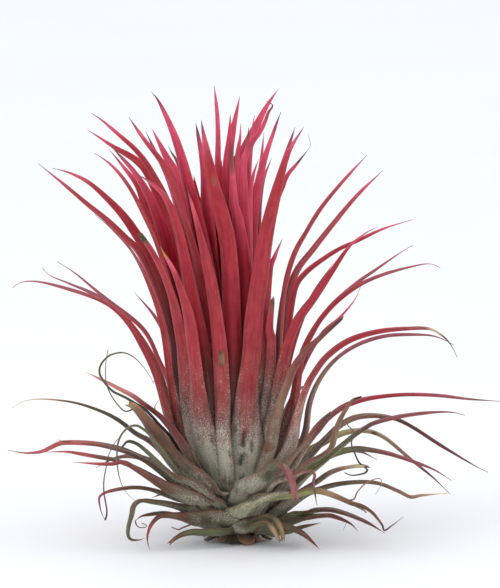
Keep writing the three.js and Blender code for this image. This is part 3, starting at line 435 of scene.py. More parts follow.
RIGHT = (
    ("right_leaf_4", "spread", 48, 3.8, -19, 0, "frosted",
     ((10.6, 17.6), (12, 23.6), (12.9, 27.4), (13.9, 30.4), (15.2, 33), (17.8, 36.6), (22.1, 39.8),
      (27.6, 41.6), (33.6, 42.3), (38, 42.2), (41, 40.3), (42.3, 38.5), (43.2, 36.6))),
    ("right_leaf_5", "spread", 72, 3.8, -8, 0, "arch",
     ((11.2, 24), (13, 36.2), (15.4, 42), (17.7, 45.4), (20.7, 48.4), (24.5, 51.1), (29, 53.1),
      (34.3, 54.6), (38, 55.2), (40.1, 54.4))),
    ("right_leaf_6", "spread", 96, 3.6, 8, 0, "tawny",
     ((10, 14), (13.6, 20.2), (14.6, 27), (16.6, 32.1), (20, 36.3), (24.6, 39.2), (30.2, 40.8),
      (37, 41), (40.4, 40.4), (43.4, 38.9))),
    ("right_leaf_7", "spread", 120, 3.4, 25, 0, "arch",
     ((11, 26), (13.5, 38), (18, 45.6), (23.6, 51), (27.9, 54.1), (32.8, 57.5), (35.6, 59.2))),
    ("right_leaf_7", "spread", 120, 3, 15, 0, "pink",
     ((10, 24), (13, 34), (17, 41), (20.6, 44.4), (23.6, 48), (24.8, 50.7))),
    ("right_leaf_8", "spread", 26, 6, -20, 0.4, "folded",
     ((2.6, 7.4), (4.2, 10), (5.8, 12.6), (7.1, 14.6), (8.3, 15.3), (9.4, 14.3), (10.4, 12.2),
      (11, 10.2), (11.5, 8.4))),
    ("right_leaf_9", "wide", 60, 4.4, -18, 0.2, "stalk",
     ((12.6, 14), (17.4, 17.4), (18.9, 18.9), (19.5, 21.4), (20.4, 24.2), (21.9, 27), (22.9, 28.3),
      (24.5, 28.9))),
    ("right_leaf_9", "wide", 60, 4, -13, 0.4, "brown",
     ((10, 15), (14, 20), (15.6, 22.6), (17.2, 24.5), (18.5, 25.6))),
    ("right_leaf_10", "wide", 84, 3.8, -12, 0, "ruddy",
     ((13.2, 17.6), (14.9, 20.2), (16.6, 22.3), (18.3, 24.4), (21.7, 26.8), (26.3, 28.3), (32.7, 29.1),
      (39.5, 29), (45.9, 28.3), (51.9, 27.9))),
    ("right_leaf_11", "wide", 108, 3.4, 4, 0, "dusk",
     ((15.4, 17.2), (18.3, 20.4), (20.4, 22.4), (22.5, 23.7), (24.6, 24.4), (27.2, 24.6), (29.7, 24.4),
      (32.3, 23.8), (35.7, 22), (40.4, 18.9), (47.2, 14.8), (50.2, 13.3))),
    ("right_leaf_12", "wide", 36, 2.2, -18, 0.3, "brown",
     ((7, 11), (10, 12.6), (11.9, 13.3), (13.6, 14), (14.9, 14), (15.3, 13.2), (15, 12), (15.2, 10.6),
      (15.5, 9))),
    ("right_leaf_13", "wide", 132, 3.4, 22, 0, "leafgreen",
     ((12.6, 15.6), (16.5, 18.4), (19.1, 19.9), (21.2, 20.8), (23.4, 21.3), (25.5, 21.4), (27.6, 21),
      (29.7, 20), (31.9, 18.3), (34.4, 16.1), (39.5, 11.9), (43.1, 8.4))),
    ("right_leaf_14", "low", 96, 3.4, -6, 0, "green",
     ((13, 11.6), (17, 15.2), (21.2, 18.9), (23.4, 20.8), (25.5, 22.3), (27.6, 23.4), (32.7, 24.7),
      (38.3, 25.5), (42.4, 25.6), (45.2, 25))),
    ("right_leaf_15", "low", 120, 3.4, 13, 0, "green",
     ((12, 11.4), (16.1, 14.9), (18.3, 16.2), (20.4, 17), (22.9, 17.6), (25.5, 17.7), (30.6, 16.8),
      (36.1, 15), (39.8, 13.5), (43.1, 11.4))),
    ("right_leaf_16", "low", 60, 5.4, -19, 0.3, "grey",
     ((13, 9.6), (16.3, 12), (18.3, 13.5), (20.6, 14.5), (22.9, 15), (24.9, 15.1), (25.7, 14.6))),
    ("right_leaf_16", "low", 60, 3.6, -22, 0, "grey",
     ((13, 8.8), (16.9, 10.4), (19.6, 11.2), (22.9, 11.7), (26.3, 11.8), (28.9, 11.3), (32, 10),
      (34.2, 9), (36.4, 9.4), (41.2, 9.9))),
    ("right_leaf_17", "low", 24, 3, -26, 0, "lime",
     ((5, 8), (8.6, 8.9), (11.9, 9.3), (13.9, 9.8), (16.3, 9.9), (18.6, 9.3), (20.9, 8.4), (22.6, 7.7),
      (24.6, 7.2), (26.3, 6.2), (27.6, 4.8), (28.5, 3.5), (28.9, 2.5), (29.9, 3.2), (31.3, 4.3),
      (32.6, 5.4))),
    ("right_leaf_18", "low", 8, 3.4, -18, 0.3, "pale",
     ((1.6, 6.4), (3.9, 7.7), (6.3, 8.9), (8.6, 9.7), (10.6, 9.9))),
    ("right_leaf_19", "floor", 60, 3, -18, 0, "pale_low",
     ((8, 3.4), (10.6, 4.2), (12.9, 5.1), (15.6, 5.9), (18.3, 6.1), (20.9, 5.6), (23.6, 4.7), (26.3, 3.5),
      (29.1, 1.8))),
    ("right_leaf_19", "floor", 60, 2.6, -20, 0, "low",
     ((8, 3), (13, 4.4), (17.6, 5.1), (19.6, 4.8), (21.3, 4.2), (22.6, 3.5), (23.8, 2.3))),
    ("right_leaf_20", "floor", 36, 2.8, -16, 0, "low",
     ((5, 2.4), (8.6, 2.8), (10.6, 2.5), (12.3, 1.9), (13.9, 0.8), (16.4, -1.5))),
    ("right_leaf_20", "floor", 36, 2.4, -10, 0, "moss",
     ((6, 1.8), (10.6, 2), (12.9, 2.7), (14.9, 3.2), (16.6, 3.6))),
    ("right_leaf_21", "floor", 12, 2.6, -15, 0.35, "strawy",
     ((2.6, 3.2), (4.8, 4.4), (6.6, 4.7), (8, 3.8), (8.9, 2), (9.1, 0.3))),
    ("right_leaf_21", "floor", 12, 2.4, -18, 0.35, "strawy",
     ((2.2, 2.6), (4, 3.4), (5.8, 3.7), (7, 2.7), (7.8, 1.3), (8.5, 0.2))),
)

# Leaves at the back: node, tier, turn, fan, width, length, rise in degrees at the root, half way and tip
REAR = (
    ("rear_leaf_1", "spread", -156, -14, 3.6, 62, 42, 62, 20),
    ("rear_leaf_1", "spread", -156, 6, 3.4, 50, 46, 66, 35),
    ("rear_leaf_2", "spread", 156, -4, 3.6, 56, 46, 68, 35),
    ("rear_leaf_2", "spread", 156, 20, 3.4, 58, 42, 60, 25),
    ("rear_leaf_3", "wide", 180, -22, 3.4, 48, 32, 40, -15),
    ("rear_leaf_3", "wide", 180, 0, 3.4, 46, 32, 42, -20),
    ("rear_leaf_3", "wide", 180, 24, 3.2, 50, 32, 38, -10),
    ("rear_leaf_4", "low", -152, -14, 3.2, 44, 22, 24, -28),
    ("rear_leaf_4", "low", -152, 12, 3.2, 38, 22, 26, -35),
    ("rear_leaf_5", "low", 152, -12, 3.2, 42, 22, 24, -30),
    ("rear_leaf_5", "low", 152, 14, 3.2, 38, 22, 22, -30),
    ("rear_leaf_6", "floor", 180, -24, 3.2, 28, 12, 10, -20),
    ("rear_leaf_6", "floor", 180, 24, 3.2, 30, 12, 12, -24),
)
REAR_LOOKS = {"rear_leaf_1": "arch", "rear_leaf_2": "arch", "rear_leaf_3": "dusk"}

# Width of a blade as it is seen, by tier: sheath and blade as shares of the row's width, the reach in mm
# where the sheath is widest and where it has narrowed to the blade, the share of the length where the tip's
# taper begins, and the taper's power
FIGURE = {
    "shoot": (1.0, 1.2, 8, 20, 0.35, 2.8),
    "inner": (1.0, 1.12, 8, 22, 0.35, 2.8),
    "middle": (1.0, 0.98, 9, 24, 0.35, 2.8),
    "second": (1.05, 0.77, 9, 26, 0.4, 2.3),
    "outer": (1.2, 0.7, 9, 30, 0.42, 2.2),
    "spread": (1.3, 0.58, 9, 26, 0.3, 1.9),
    "wide": (1.4, 0.56, 8, 22, 0.3, 1.8),
    "low": (1.6, 0.62, 7, 19, 0.3, 1.8),
    "floor": (1.8, 0.74, 5, 14, 0.3, 1.8),
}

# Sheaths whose width isn't their tier's, mm, and where they have narrowed to the blade
BROAD = {
    "front_leaf_3": (8.2, 30),
    "front_leaf_4": (3.4, 16),
    "front_leaf_5": (8.6, 30),
    "left_leaf_5": (6.6, 22),
    "left_leaf_6": (5.2, 36),
    "left_leaf_11": (5.4, 22),
    "left_leaf_12": (6, 19),
    "left_leaf_13": (6, 24),
    "left_leaf_14": (6, 18),
    "left_leaf_15": (5.4, 15),
    "left_leaf_16": (8.6, 16),
    "left_leaf_17": (3, 9),
    "right_leaf_4": (5, 28),
    "right_leaf_8": (9, 16),
    "right_leaf_12": (4, 11),
    "right_leaf_16": (5.4, 19),
    "right_leaf_17": (5.8, 15),
    "right_leaf_18": (7.6, 15),
    "right_leaf_19": (6, 17),
    "right_leaf_20": (5.4, 13),
    "right_leaf_21": (5.8, 9),
}

# Blades whose tip tapers sooner (low power) or later (high power) than their tier's
TAPERS = {
    "front_leaf_2": 3.6,
    "front_leaf_6": 1.3,
    "left_leaf_3": 1.8,
    "left_leaf_5": 3,
    "right_leaf_1": 1.6,
    "right_leaf_8": 5,
}

# Looks: colours at millimetres from the root, colours at millimetres before the tip, then how much of the
# skin pale scales cover at millimetres from the root. The rows that several looks share come first.
# The dark colours at the root in these rows and in the looks below are painted shade where the leaf feet
# crowd round the stem
SHEATH = ((0, "loam"), (2, "sage"), (12, "sage"), (17, "mottle"), (21, "mottle"))
LOW = ((0, "loam"), (3, "olive"), (8, "sage"), (13, "olive"))
PALE = ((0, "dead_and_shade"), (2, "loam"), (6, "sage"), (11, "sage"))
FROST = ((0, 0.7), (3, 1.2), (8, 1.5), (12, 1.4), (17, 0.9), (22, 0.5), (28, 0.26), (35, 0.14), (90, 0.12))
VEILED = ((0, 0.5), (4, 0.8), (10, 0.9), (16, 0.5), (24, 0.2), (32, 0.05), (90, 0.02))
DUST = ((0, 0.2), (4, 0.5), (8, 0.68), (14, 0.52), (20, 0.26), (32, 0.06))
SOIL = ((0, 0.03), (4, 0.16), (8, 0.22), (14, 0.1), (22, 0.05))
POWDER = ((0, 0.3), (4, 0.8), (8, 1.05), (14, 0.85), (22, 0.3), (32, 0.08))
LOOKS = {
    "heart": (
        (*SHEATH, (28, "shaded_crimson")),
        ((24, "red"), (6, "rose"), (2.6, "mauve"), (1.2, "ash"), (0, "ash")),
        VEILED,
    ),
    # Heart leaves whose long pale tips are partly painted light shining through from behind
    "rose": (
        (*SHEATH, (28, "shaded_crimson")),
        ((24, "red"), (9, "rose"), (1.2, "rose"), (0.4, "ash")),
        VEILED,
    ),
    "pink": (
        (*SHEATH, (28, "shaded_crimson")),
        ((10, "rose"), (1, "rose")),
        VEILED,
    ),
    # Inner heart leaves deep among the others, in painted shade nearly to the tip
    "deep": (
        (*SHEATH, (28, "shaded_crimson")),
        ((20, "shaded_crimson"), (4, "red")),
        VEILED,
    ),
    "stump": (
        (*SHEATH, (28, "crimson")),
        ((4, "red"), (1.4, "rust"), (0.6, "loam"), (0, "tan")),
        FROST,
    ),
    "upright": (
        (*SHEATH, (28, "crimson")),
        ((30, "red"), (9, "red"), (4, "rose"), (2, "mauve"), (0.8, "ash"), (0, "ash")),
        FROST,
    ),
    "shaded": (
        ((0, "loam"), (8, "sage"), (14, "mottle"), (20, "mottle"), (28, "shaded_crimson"), (36, "crimson")),
        ((30, "red"), (9, "red"), (4, "rose"), (2, "mauve"), (0.8, "ash"), (0, "ash")),
        ((0, 0.5), (8, 0.8), (16, 0.4), (24, 0.16), (32, 0.06), (50, 0.1), (90, 0.1)),
    ),
    "torn": (
        (*SHEATH, (28, "crimson")),
        ((9, "red"), (2.6, "red"), (1.6, "rust"), (0.8, "dead_and_shade"), (0, "loam")),
        FROST,
    ),
    "arch": (
        ((0, "dead_and_shade"), (3, "loam"), (7, "sage"), (15, "mottle"), (25, "crimson")),
        ((22, "red"), (10, "mauve"), (1.6, "mauve"), (0, "ash")),
        ((0, 0.15), (4, 0.6), (8, 0.95), (15, 0.7), (24, 0.25), (34, 0.12)),
    ),
    "ruddy": (
        (*PALE, (14, "rust"), (24, "brick")),
        ((24, "red"), (8, "mauve"), (3, "ash"), (0, "ash")),
        POWDER,
    ),
    "tawny": (
        ((0, "dead_and_shade"), (3, "loam"), (7, "sage"), (16, "tan"), (32, "tan")),
        ((24, "mauve"), (8, "mauve"), (2, "mauve"), (0, "ash")),
        ((0, 0.15), (4, 0.6), (8, 0.9), (16, 0.6), (30, 0.2), (44, 0.12)),
    ),
    "frosted": (
        ((0, "dead_and_shade"), (3, "loam"), (6, "sage"), (15, "mottle"), (24, "crimson"), (38, "crimson")),
        ((18, "red"), (9, "mauve"), (7.8, "straw"), (6.4, "straw"), (5, "ash"), (0, "ash")),
        ((0, 0.3), (4, 1), (7, 1.4), (16, 1.3), (24, 0.75), (32, 0.22), (44, 0.12)),
    ),
    "tan": (
        ((0, "dead_and_shade"), (3, "loam"), (6, "sage"), (13, "tan"), (25, "tan")),
        ((13, "brick"), (3, "mottle"), (0.9, "dead_and_shade"), (0, "dead_and_shade")),
        ((0, 0.3), (4, 1), (8, 1.3), (13, 1), (18, 0.45), (26, 0.15)),
    ),
    "brown": (
        (*PALE, (14, "tan"), (22, "tan")),
        ((6, "brick"), (1, "ash")),
        POWDER,
    ),
    "stalk": (
        (*PALE, (14, "rust"), (18, "tan")),
        ((6, "tan"), (2.4, "tan"), (1.2, "dead_and_shade"), (0, "dead_and_shade")),
        POWDER,
    ),
    "rust": (
        (*LOW, (17, "olive"), (24, "rust")),
        ((7, "rust"), (1.6, "tan"), (0.5, "hay")),
        DUST,
    ),
    "blush": (
        (*LOW, (17, "olive"), (22, "brick")),
        ((14, "brick"), (9, "salmon"), (2, "salmon"), (0, "straw")),
        DUST,
    ),
    "coral": (
        (*LOW, (20, "olive"), (27, "rust")),
        ((14, "coral"), (5, "coral"), (1.5, "brick"), (0, "ash")),
        DUST,
    ),
    "pinched": (
        (*LOW, (18, "olive"), (23, "rust")),
        ((8, "brick"), (3, "coral"), (0, "brick")),
        DUST,
    ),
    "dusky": (
        (*LOW, (14, "rust"), (18, "mottle"), (24, "loam")),
        ((22, "olive"), (12, "olive"), (2, "straw")),
        ((0, 0.1), (5, 0.4), (14, 0.14), (30, 0.04)),
    ),
    "dusk": (
        (*PALE, (18, "olive"), (26, "tan")),
        ((20, "mottle"), (6, "mottle"), (1, "ash")),
        POWDER,
    ),
    "green": (
        (*PALE, (15, "green"), (22, "green"), (28, "olive")),
        ((16, "brick"), (6, "mauve"), (1, "ash")),
        ((0, 0.15), (5, 0.75), (13, 0.6), (20, 0.25), (30, 0.12)),
    ),
    "leafgreen": (
        (*PALE, (15, "green"), (19, "lime"), (24, "lime")),
        ((22, "hay"), (15, "tan"), (9, "brick"), (1, "ash")),
        ((0, 0.15), (5, 0.75), (13, 0.6), (20, 0.25), (30, 0.12)),
    ),
    "lime": (
        (*PALE, (13, "green"), (17, "lime"), (21, "lime"), (25, "hay")),
        ((17, "rust"), (8, "rust"), (6.6, "dead_and_shade"), (0, "ash")),
        ((0, 0.15), (4, 0.8), (9, 0.95), (14, 0.4), (18, 0.14), (26, 0.1)),
    ),
    "olive": (
        (*LOW, (16, "olive")),
        ((10, "olive"), (6, "moss"), (2, "loam"), (0, "ash")),
        DUST,
    ),
    "moss": (
        ((0, "dead_and_shade"), (4, "loam"), (9, "moss")),
        ((5, "moss"), (1.6, "rust"), (0, "tan")),
        SOIL,
    ),
    "folded_brown": (
        (*LOW, (14, "moss"), (18, "olive")),
        ((11, "rust"), (5, "mauve"), (0, "loam")),
        DUST,
    ),
    "grey": (
        ((0, "dead_and_shade"), (3, "loam"), (7, "sage"), (15, "olive"), (22, "olive")),
        ((8, "tan"), (1.2, "straw"), (0, "ash")),
        ((0, 0.1), (4, 0.6), (8, 0.85), (16, 0.5), (24, 0.25), (34, 0.1)),
    ),
    "pale": (
        ((0, "dead_and_shade"), (2, "loam"), (5, "sage"), (10, "green")),
        ((1, "olive"),),
        ((0, 0.2), (3, 0.8), (8, 1), (12, 0.6)),
    ),
    "pale_low": (
        ((0, "dead_and_shade"), (2, "loam"), (6, "sage"), (11, "green"), (16, "olive")),
        ((11, "rust"), (4, "mottle"), (0.8, "ash")),
        ((0, 0.1), (4, 0.6), (9, 0.8), (15, 0.3), (24, 0.1)),
    ),
    "low": (
        (*PALE, (14, "olive")),
        ((9, "rust"), (4, "mottle"), (0.8, "ash")),
        SOIL,
    ),
    "husk": (
        ((0, "loam"), (3, "olive"), (6, "sage"), (11, "olive")),
        ((6, "rust"), (4.4, "coral"), (1.6, "rust"), (0, "mottle")),
        ((0, 0.1), (4, 0.32), (8, 0.52), (14, 0.26), (20, 0.06)),
    ),
    "strawy": (
        ((0, "dead_and_shade"), (2, "loam"), (5, "sage")),
        ((5, "olive"), (3, "hay"), (0.6, "hay")),
        ((0, 0.1), (2, 0.4), (5, 0.85), (7, 0.4), (9, 0.1)),
    ),
    "folded": (
        ((0, "dead_and_shade"), (2, "loam"), (6, "sage"), (11, "sage")),
        ((9, "sage"), (8, "tan"), (6.6, "mauve"), (1, "mauve"), (0, "brick")),
        ((0, 0.5), (3, 1.3), (7, 1.6), (11, 1.5), (14, 0.8), (16, 0.3), (20, 0.25)),
    ),
    "curl": (
        (*LOW, (14, "moss")),
        ((20, "moss"), (8, "moss"), (0, "ash")),
        ((0, 0.1), (6, 0.4), (14, 0.2)),
    ),
    "thread": (
        (*LOW, (14, "moss"), (18, "dead_and_shade"), (24, "ink")),
        ((26, "loam"), (20, "moss"), (8, "moss"), (0, "ash")),
        ((0, 0.1), (7, 0.3), (14, 0.05)),
    ),
}

# Shrunken blades: share of the width that is left at millimetres from the root
SHRUNK = {
    "thread": ((10, 1), (16, 0.66), (24, 0.6), (36, 0.66)),
    "curl": ((5, 1), (11, 0.5), (40, 0.5)),
    "pinched": ((14, 1), (18, 1.15), (22.5, 1.15), (25, 0.8)),
    "dusky": ((14, 1), (20, 0.9), (27, 0.6), (40, 0.45)),
    "stalk": ((8, 1), (14, 0.9)),
    "folded_brown": ((14, 1), (22, 0.6)),
    "lime": ((24, 1), (34, 0.75)),
    "husk": ((15, 1), (18, 0.85)),
    "olive": ((16, 1), (22, 0.8)),
}

# Marks: node, x and seen height of the middle, half length and half width, colour, strength
MARKS = (
    ("front_leaf_3", -14.6, 57.6, 2.2, 2.0, "amber", 0.85),
    ("front_leaf_3", -10.6, 24.0, 3.0, 1.4, "mottle", 0.6),
    ("front_leaf_3", -7.2, 27.0, 6.0, 2.6, "crimson", 0.4),
    ("front_leaf_4", -3.0, 36.4, 2.2, 1.0, "loam", 0.9),
    ("front_leaf_4", -2.9, 36.3, 1.6, 0.7, "tan", 0.9),
    ("front_leaf_4", -3.2, 27.2, 5.0, 2.0, "crimson", 0.4),
    ("front_leaf_5", 1.2, 20.4, 2.4, 0.8, "dead_and_shade", 0.95),
    ("front_leaf_5", 0.9, 16.2, 1.8, 0.6, "dead_and_shade", 0.9),
    ("front_leaf_5", 2.0, 27.5, 9.0, 2.4, "crimson", 0.5),
    ("front_leaf_7", 6.2, 18.6, 1.6, 1.2, "tan", 0.9),
    ("front_leaf_2", -4.4, 71.4, 1.4, 0.8, "tan", 0.5),
    ("heart_leaves", -0.9, 75.6, 3.6, 0.8, "rust", 0.7),
    ("inner_right_leaf", 13.4, 77.2, 3.4, 1.4, "ash", 0.9),
    ("left_leaf_1", -13.0, 21.2, 1.4, 0.9, "dead_and_shade", 0.85),
    ("left_leaf_4", -20.2, 43.2, 1.6, 1.4, "ink", 0.8),
    ("left_leaf_13", -15.6, 11.2, 4.5, 1.2, "rust", 0.8),
    ("left_leaf_16", -10.4, 4.8, 1.8, 1.0, "rust", 0.8),
    ("left_leaf_16", -6.0, 4.0, 1.6, 1.4, "dead_and_shade", 0.6),
    ("right_leaf_8", 5.8, 13.0, 1.8, 1.2, "loam", 0.7),
    ("right_leaf_13", 27.6, 21.0, 0.9, 0.7, "loam", 0.8),
)

# Dried threads: node and blade that carry one, share of that blade's length, radius at its root and its
# end, colour at its root and its end, depth of its end, and the line as x and seen height
THREADS = (
    ("left_leaf_5", 0, 0.95, 0.17, 0.07, "moss", "moss", -13,
     ((-21.9, 26), (-23.4, 27.3), (-24.7, 29.2), (-25.6, 31.4), (-25.8, 33.7), (-25.7, 36), (-25.3, 38.2))),
    ("left_leaf_14", 0, 1.0, 0.2, 0.06, "mottle", "loam", -18,
     ((-25.6, 5.4), (-25.6, 6.8), (-26.1, 9.9), (-26.1, 12.3), (-25.7, 14.7), (-25.2, 17.2), (-24.2, 19.3),
      (-23.3, 20.6))),
    ("right_leaf_16", 0, 0.97, 0.2, 0.1, "ink", "moss", -17,
     ((24, 15.9), (23.2, 17.6), (22.5, 19.7), (23, 21.4), (22.7, 22.3), (21.9, 23.1), (21.4, 24))),
    ("right_leaf_16", 0, 1.0, 0.22, 0.1, "ink", "ink", -19,
     ((25.4, 14), (24.8, 13.7), (23.4, 13.4), (22.3, 13.4), (21.1, 13.9))),
    ("right_leaf_17", 0, 0.62, 0.17, 0.05, "rust", "hay", -24,
     ((22.9, 8.6), (23.6, 10), (24.9, 11.5), (26.6, 12.5), (27.9, 12.8), (28.3, 12.3), (28.1, 11.3),
      (27.1, 9.7))),
    ("right_leaf_17", 0, 0.65, 0.22, 0.14, "dead_and_shade", "tan", -25, ((24.6, 6.7), (25.3, 6.2))),
    ("left_leaf_11", 0, 0.62, 0.1, 0.04, "loam", "ash", -13, ((-34.2, 19.9), (-35.2, 20.3))),
    ("left_leaf_15", 1, 1.0, 0.13, 0.07, "dead_and_shade", "dead_and_shade", -14,
     ((-19.9, 3.6), (-19.7, 3.2), (-19.1, 2.8), (-18, 2.9), (-17.9, 3.3), (-18.8, 3.7))),
    ("left_leaf_16", 0, 0.36, 0.18, 0.1, "loam", "tan", -12, ((-10.9, 2.6), (-11.5, 2.3), (-12.9, 2.8))),
    ("right_leaf_19", 1, 0.86, 0.08, 0.03, "loam", "ash", -20, ((21.6, 4), (20.9, 2.5))),
    ("right_leaf_12", 0, 1.0, 0.14, 0.05, "tan", "ash", -18, ((15.6, 8.2), (15.8, 7.3))),
    ("inner_right_leaf", 0, 1.0, 0.09, 0.04, "straw", "straw", 4, ((14.6, 79), (14.4, 80.2), (14.1, 81.4))),
    ("left_leaf_10", 0, 0.6, 0.16, 0.08, "hay", "straw", -10, ((-16.2, 26.6), (-15.5, 28))),
)

# Dry leaf feet round the bottom of the stem: turn from the front, length, width, colour at the end
STUBS = (
    (-58, 3.4, 2.6, "loam"),
    (-26, 2.8, 3.2, "tan"),
    (-6, 3.6, 3.6, "loam"),
    (16, 4.8, 3.6, "tan"),
    (38, 3.0, 2.8, "tan"),
    (70, 3.4, 2.6, "loam"),
    (112, 3.0, 3.0, "tan"),
    (160, 3.4, 3.0, "loam"),
    (-150, 3.2, 3.0, "tan"),
    (-104, 3.0, 2.8, "loam"),
)


def srgb(red, green, blue):
    """Linear colour from 8-bit sRGB: ((c/255 + 0.055) / 1.055) ^ 2.4, or c/255/12.92 where that is dark."""
    shares = [value / 255 for value in (red, green, blue)]
    return tuple(s / 12.92 if s <= 0.04045 else ((s + 0.055) / 1.055) ** 2.4 for s in shares)


def colour_property(name, description, rgb):
    return bpy.props.FloatVectorProperty(
        name=name, description=description, subtype="COLOR", size=3, min=0, max=1, default=srgb(*rgb)
    )


def count_property(name, description, default, low, high):
    return bpy.props.IntProperty(name=name, description=description, default=default, min=low, max=high)


def share_property(name, description, default, low=0, high=1):
    return bpy.props.FloatProperty(
        name=name, description=description, default=default, min=low, max=high, subtype="FACTOR"
    )


def length_property(name, description, default, low, high):
    return bpy.props.FloatProperty(
        name=name, description=description, default=default, min=low, max=high, unit="LENGTH"
    )


def angle_property(name, description, default):
    return bpy.props.FloatProperty(name=name, description=description, default=default, subtype="ANGLE")


def power_property(name, description, default):
    return bpy.props.FloatProperty(name=name, description=description, default=default, min=0, unit="POWER")


class AirPlantColours(bpy.types.PropertyGroup):
    """Colours of the living skin, the scales and the dry parts."""

    silver: colour_property("Silver", "Pale scales that cover the sheaths", (198, 192, 176))
    # Painted shade at the roots of the leaves, where they crowd round the stem; also the real colour of dead
    # tips and dry threads
    dead_and_shade: colour_property("Earth", "Darkest foot of a sheath, dead tips", (42, 36, 24))
    # Painted shade at the foot of a sheath; elsewhere the real dark colour of dry skin and stains
    loam: colour_property("Loam", "Shaded foot of a sheath", (66, 59, 41))
    sage: colour_property("Sage", "Skin under the scales of a sheath", (100, 99, 72))
    mottle: colour_property("Mottle", "Where the sheath turns to blush", (98, 44, 46))
    crimson: colour_property("Crimson", "Deep blush half way up a leaf", (150, 2, 26))
    # Painted shade: a darker copy of crimson for blades deep among the others, where little light reaches
    shaded_crimson: colour_property("Garnet", "Darkest blush, deep among the leaves", (112, 0, 16))
    red: colour_property("Red", "Blush of the upper blade", (168, 10, 42))
    # Partly the tips' own paler blush, partly painted light: brightened where light shines through the tips
    # from behind
    rose: colour_property("Rose", "Light blush near the tips", (212, 78, 108))
    mauve: colour_property("Mauve", "Where the blush fades out", (150, 70, 84))
    brick: colour_property("Brick", "Dull red of a low blade", (132, 52, 54))
    tan: colour_property("Tan", "Tanned blade", (138, 102, 80))
    rust: colour_property("Rust", "Red-brown low blade", (110, 72, 54))
    coral: colour_property("Coral", "Pale red of a low, dry tip", (176, 84, 82))
    salmon: colour_property("Salmon", "Palest pink of a side blade", (206, 132, 124))
    olive: colour_property("Olive", "Green-brown low blade", (82, 76, 47))
    moss: colour_property("Moss", "Dull green of a dried blade", (84, 90, 58))
    green: colour_property("Green", "Fresh green of a side leaf", (116, 132, 72))
    lime: colour_property("Lime", "Yellow-green of a side leaf", (146, 146, 88))
    hay: colour_property("Hay", "Yellow-brown of a drying blade", (160, 136, 98))
    straw: colour_property("Straw", "Dry yellow patch", (208, 190, 148))
    amber: colour_property("Amber", "Dry orange spot", (206, 132, 70))
    ash: colour_property("Ash", "Dried thread or tip", (74, 64, 56))
    ink: colour_property("Ink", "Shrivelled dark skin", (42, 34, 28))
    blush: colour_property("Blush", "Light that shows through a thin margin", (224, 150, 150))


class AirPlantBlade(bpy.types.PropertyGroup):
    """Fineness and finish of every blade."""

    rings: count_property("Rings", "Cross-sections along a blade", 150, 24, 300)
    sides: count_property("Sides", "Points round a cross-section", 18, 8, 48)
    fullness: share_property("Fullness", "Thickness as a share of the solid's", 0.8, 0.3)
    needle: share_property("Needle", "Most thickness as a share of the width", 0.8, 0.2)
    wobble: share_property("Wobble", "Uneven width along a blade, as a share", 0.03, 0, 0.3)
    spring_back: share_property("Spring back", "How far a pushed leaf springs back, but for its depth", 0.85)
    channel: share_property("Channel", "Depth of the hollow as a share of half the width", 0.4)
    twist: angle_property("Twist", "How far a blade turns about its own line", 0.3)
    hairs: count_property("Hairs", "Scales that stand off each leaf", 260, 0, 1000)
    hair_length: length_property("Hair length", "The longest standing scale", 0.00042, 0.0001, 0.002)
    scale_size: length_property("Scale size", "Spacing of the pale scales", 0.00017, 0.00005, 0.002)
    haze: share_property("Haze", "Even veil of the finest scales", 0.46)
    roughness: share_property("Roughness", "Roughness of the skin", 0.5)
    bloom: share_property("Bloom", "Soft pale sheen of the scales", 0.05)
    glow: share_property("Glow", "How much light the flesh passes on", 0.25)
    relief: length_property("Relief", "Height of scales and veins", 0.00006, 0, 0.001)


class AirPlantStage(bpy.types.PropertyGroup):
    """Camera, floor and lights."""

    distance: length_property("Distance", "Camera to plant", 1.3, 0.3, 100)
    elevation: angle_property("Elevation", "Camera height as an angle", math.radians(7))
    frame_height: length_property("Frame height", "Height of the picture at the plant", 0.1167, 0.01, 10)
    centre_x: length_property("Centre X", "Middle of the picture", 0.0026, -1, 1)
    centre_z: length_property("Centre Z", "Middle of the picture", 0.0492, -1, 1)
    sky: bpy.props.FloatProperty(
        name="Sky", description="Strength of the surrounding light", default=0.88, min=0
    )
    roof: power_property("Roof", "Power of the large light overhead", 21)
    key: power_property("Key", "Power of the main soft light", 2.2)
    fill: power_property("Fill", "Power of the fill light", 0.7)


def smooth(x):
    """3x^2 - 2x^3 between 0 and 1."""
    x = np.clip(x, 0, 1)
    return x * x * (3 - 2 * x)


def ease(x, low, high):
    """Smoothly from 0 at low to 1 at high. It falls where high is the smaller of the two."""
    return smooth((x - low) / (high - low))


def mix(a, b, share):
    """a where the share is 0, b where it is 1, and straight between them."""
    return a + (b - a) * share


def round_steps(count):
    """Cosines and sines of equal steps round a circle."""
    angle = np.arange(count) * 2 * math.pi / count
    return np.cos(angle), np.sin(angle)


def on_stem(tier, turn, out=0.0, up=0.0):
    """Point where a leaf of the tier leaves the stem, moved out and up."""
    radius, height = TIERS[tier][:2]
    return np.array([(radius + out) * math.sin(turn), -(radius + out) * math.cos(turn), height + up])


def seen_path(tier, turn, tip_depth, seen):
    """Foot, collar, then each seen point with its depth: smooth from the root to the belly over the first
    30 % of the seen length, then straight to the tip's depth. z = seen height - 0.123 y.
    """
    root = on_stem(tier, turn)
    collar = on_stem(tier, turn, COLLAR_OUT, COLLAR_UP)
    seen = np.array(seen, float)
    belly = -TIERS[tier][2] * math.cos(turn)
    steps = np.diff(np.vstack([root[[0, 2]], seen]), axis=0)
    reach = np.cumsum(np.hypot(steps[:, 0], steps[:, 1]))
    share = reach / reach[-1]
    near = mix(root[1], belly, smooth(share / BELLY_AT))
    far = mix(belly, tip_depth, (share - BELLY_AT) / (1 - BELLY_AT))
    depth = np.where(share < BELLY_AT, near, far)
    points = np.column_stack([seen[:, 0], depth, seen[:, 1] - SIGHT_SLOPE * depth])
    return np.vstack([root, collar, points])


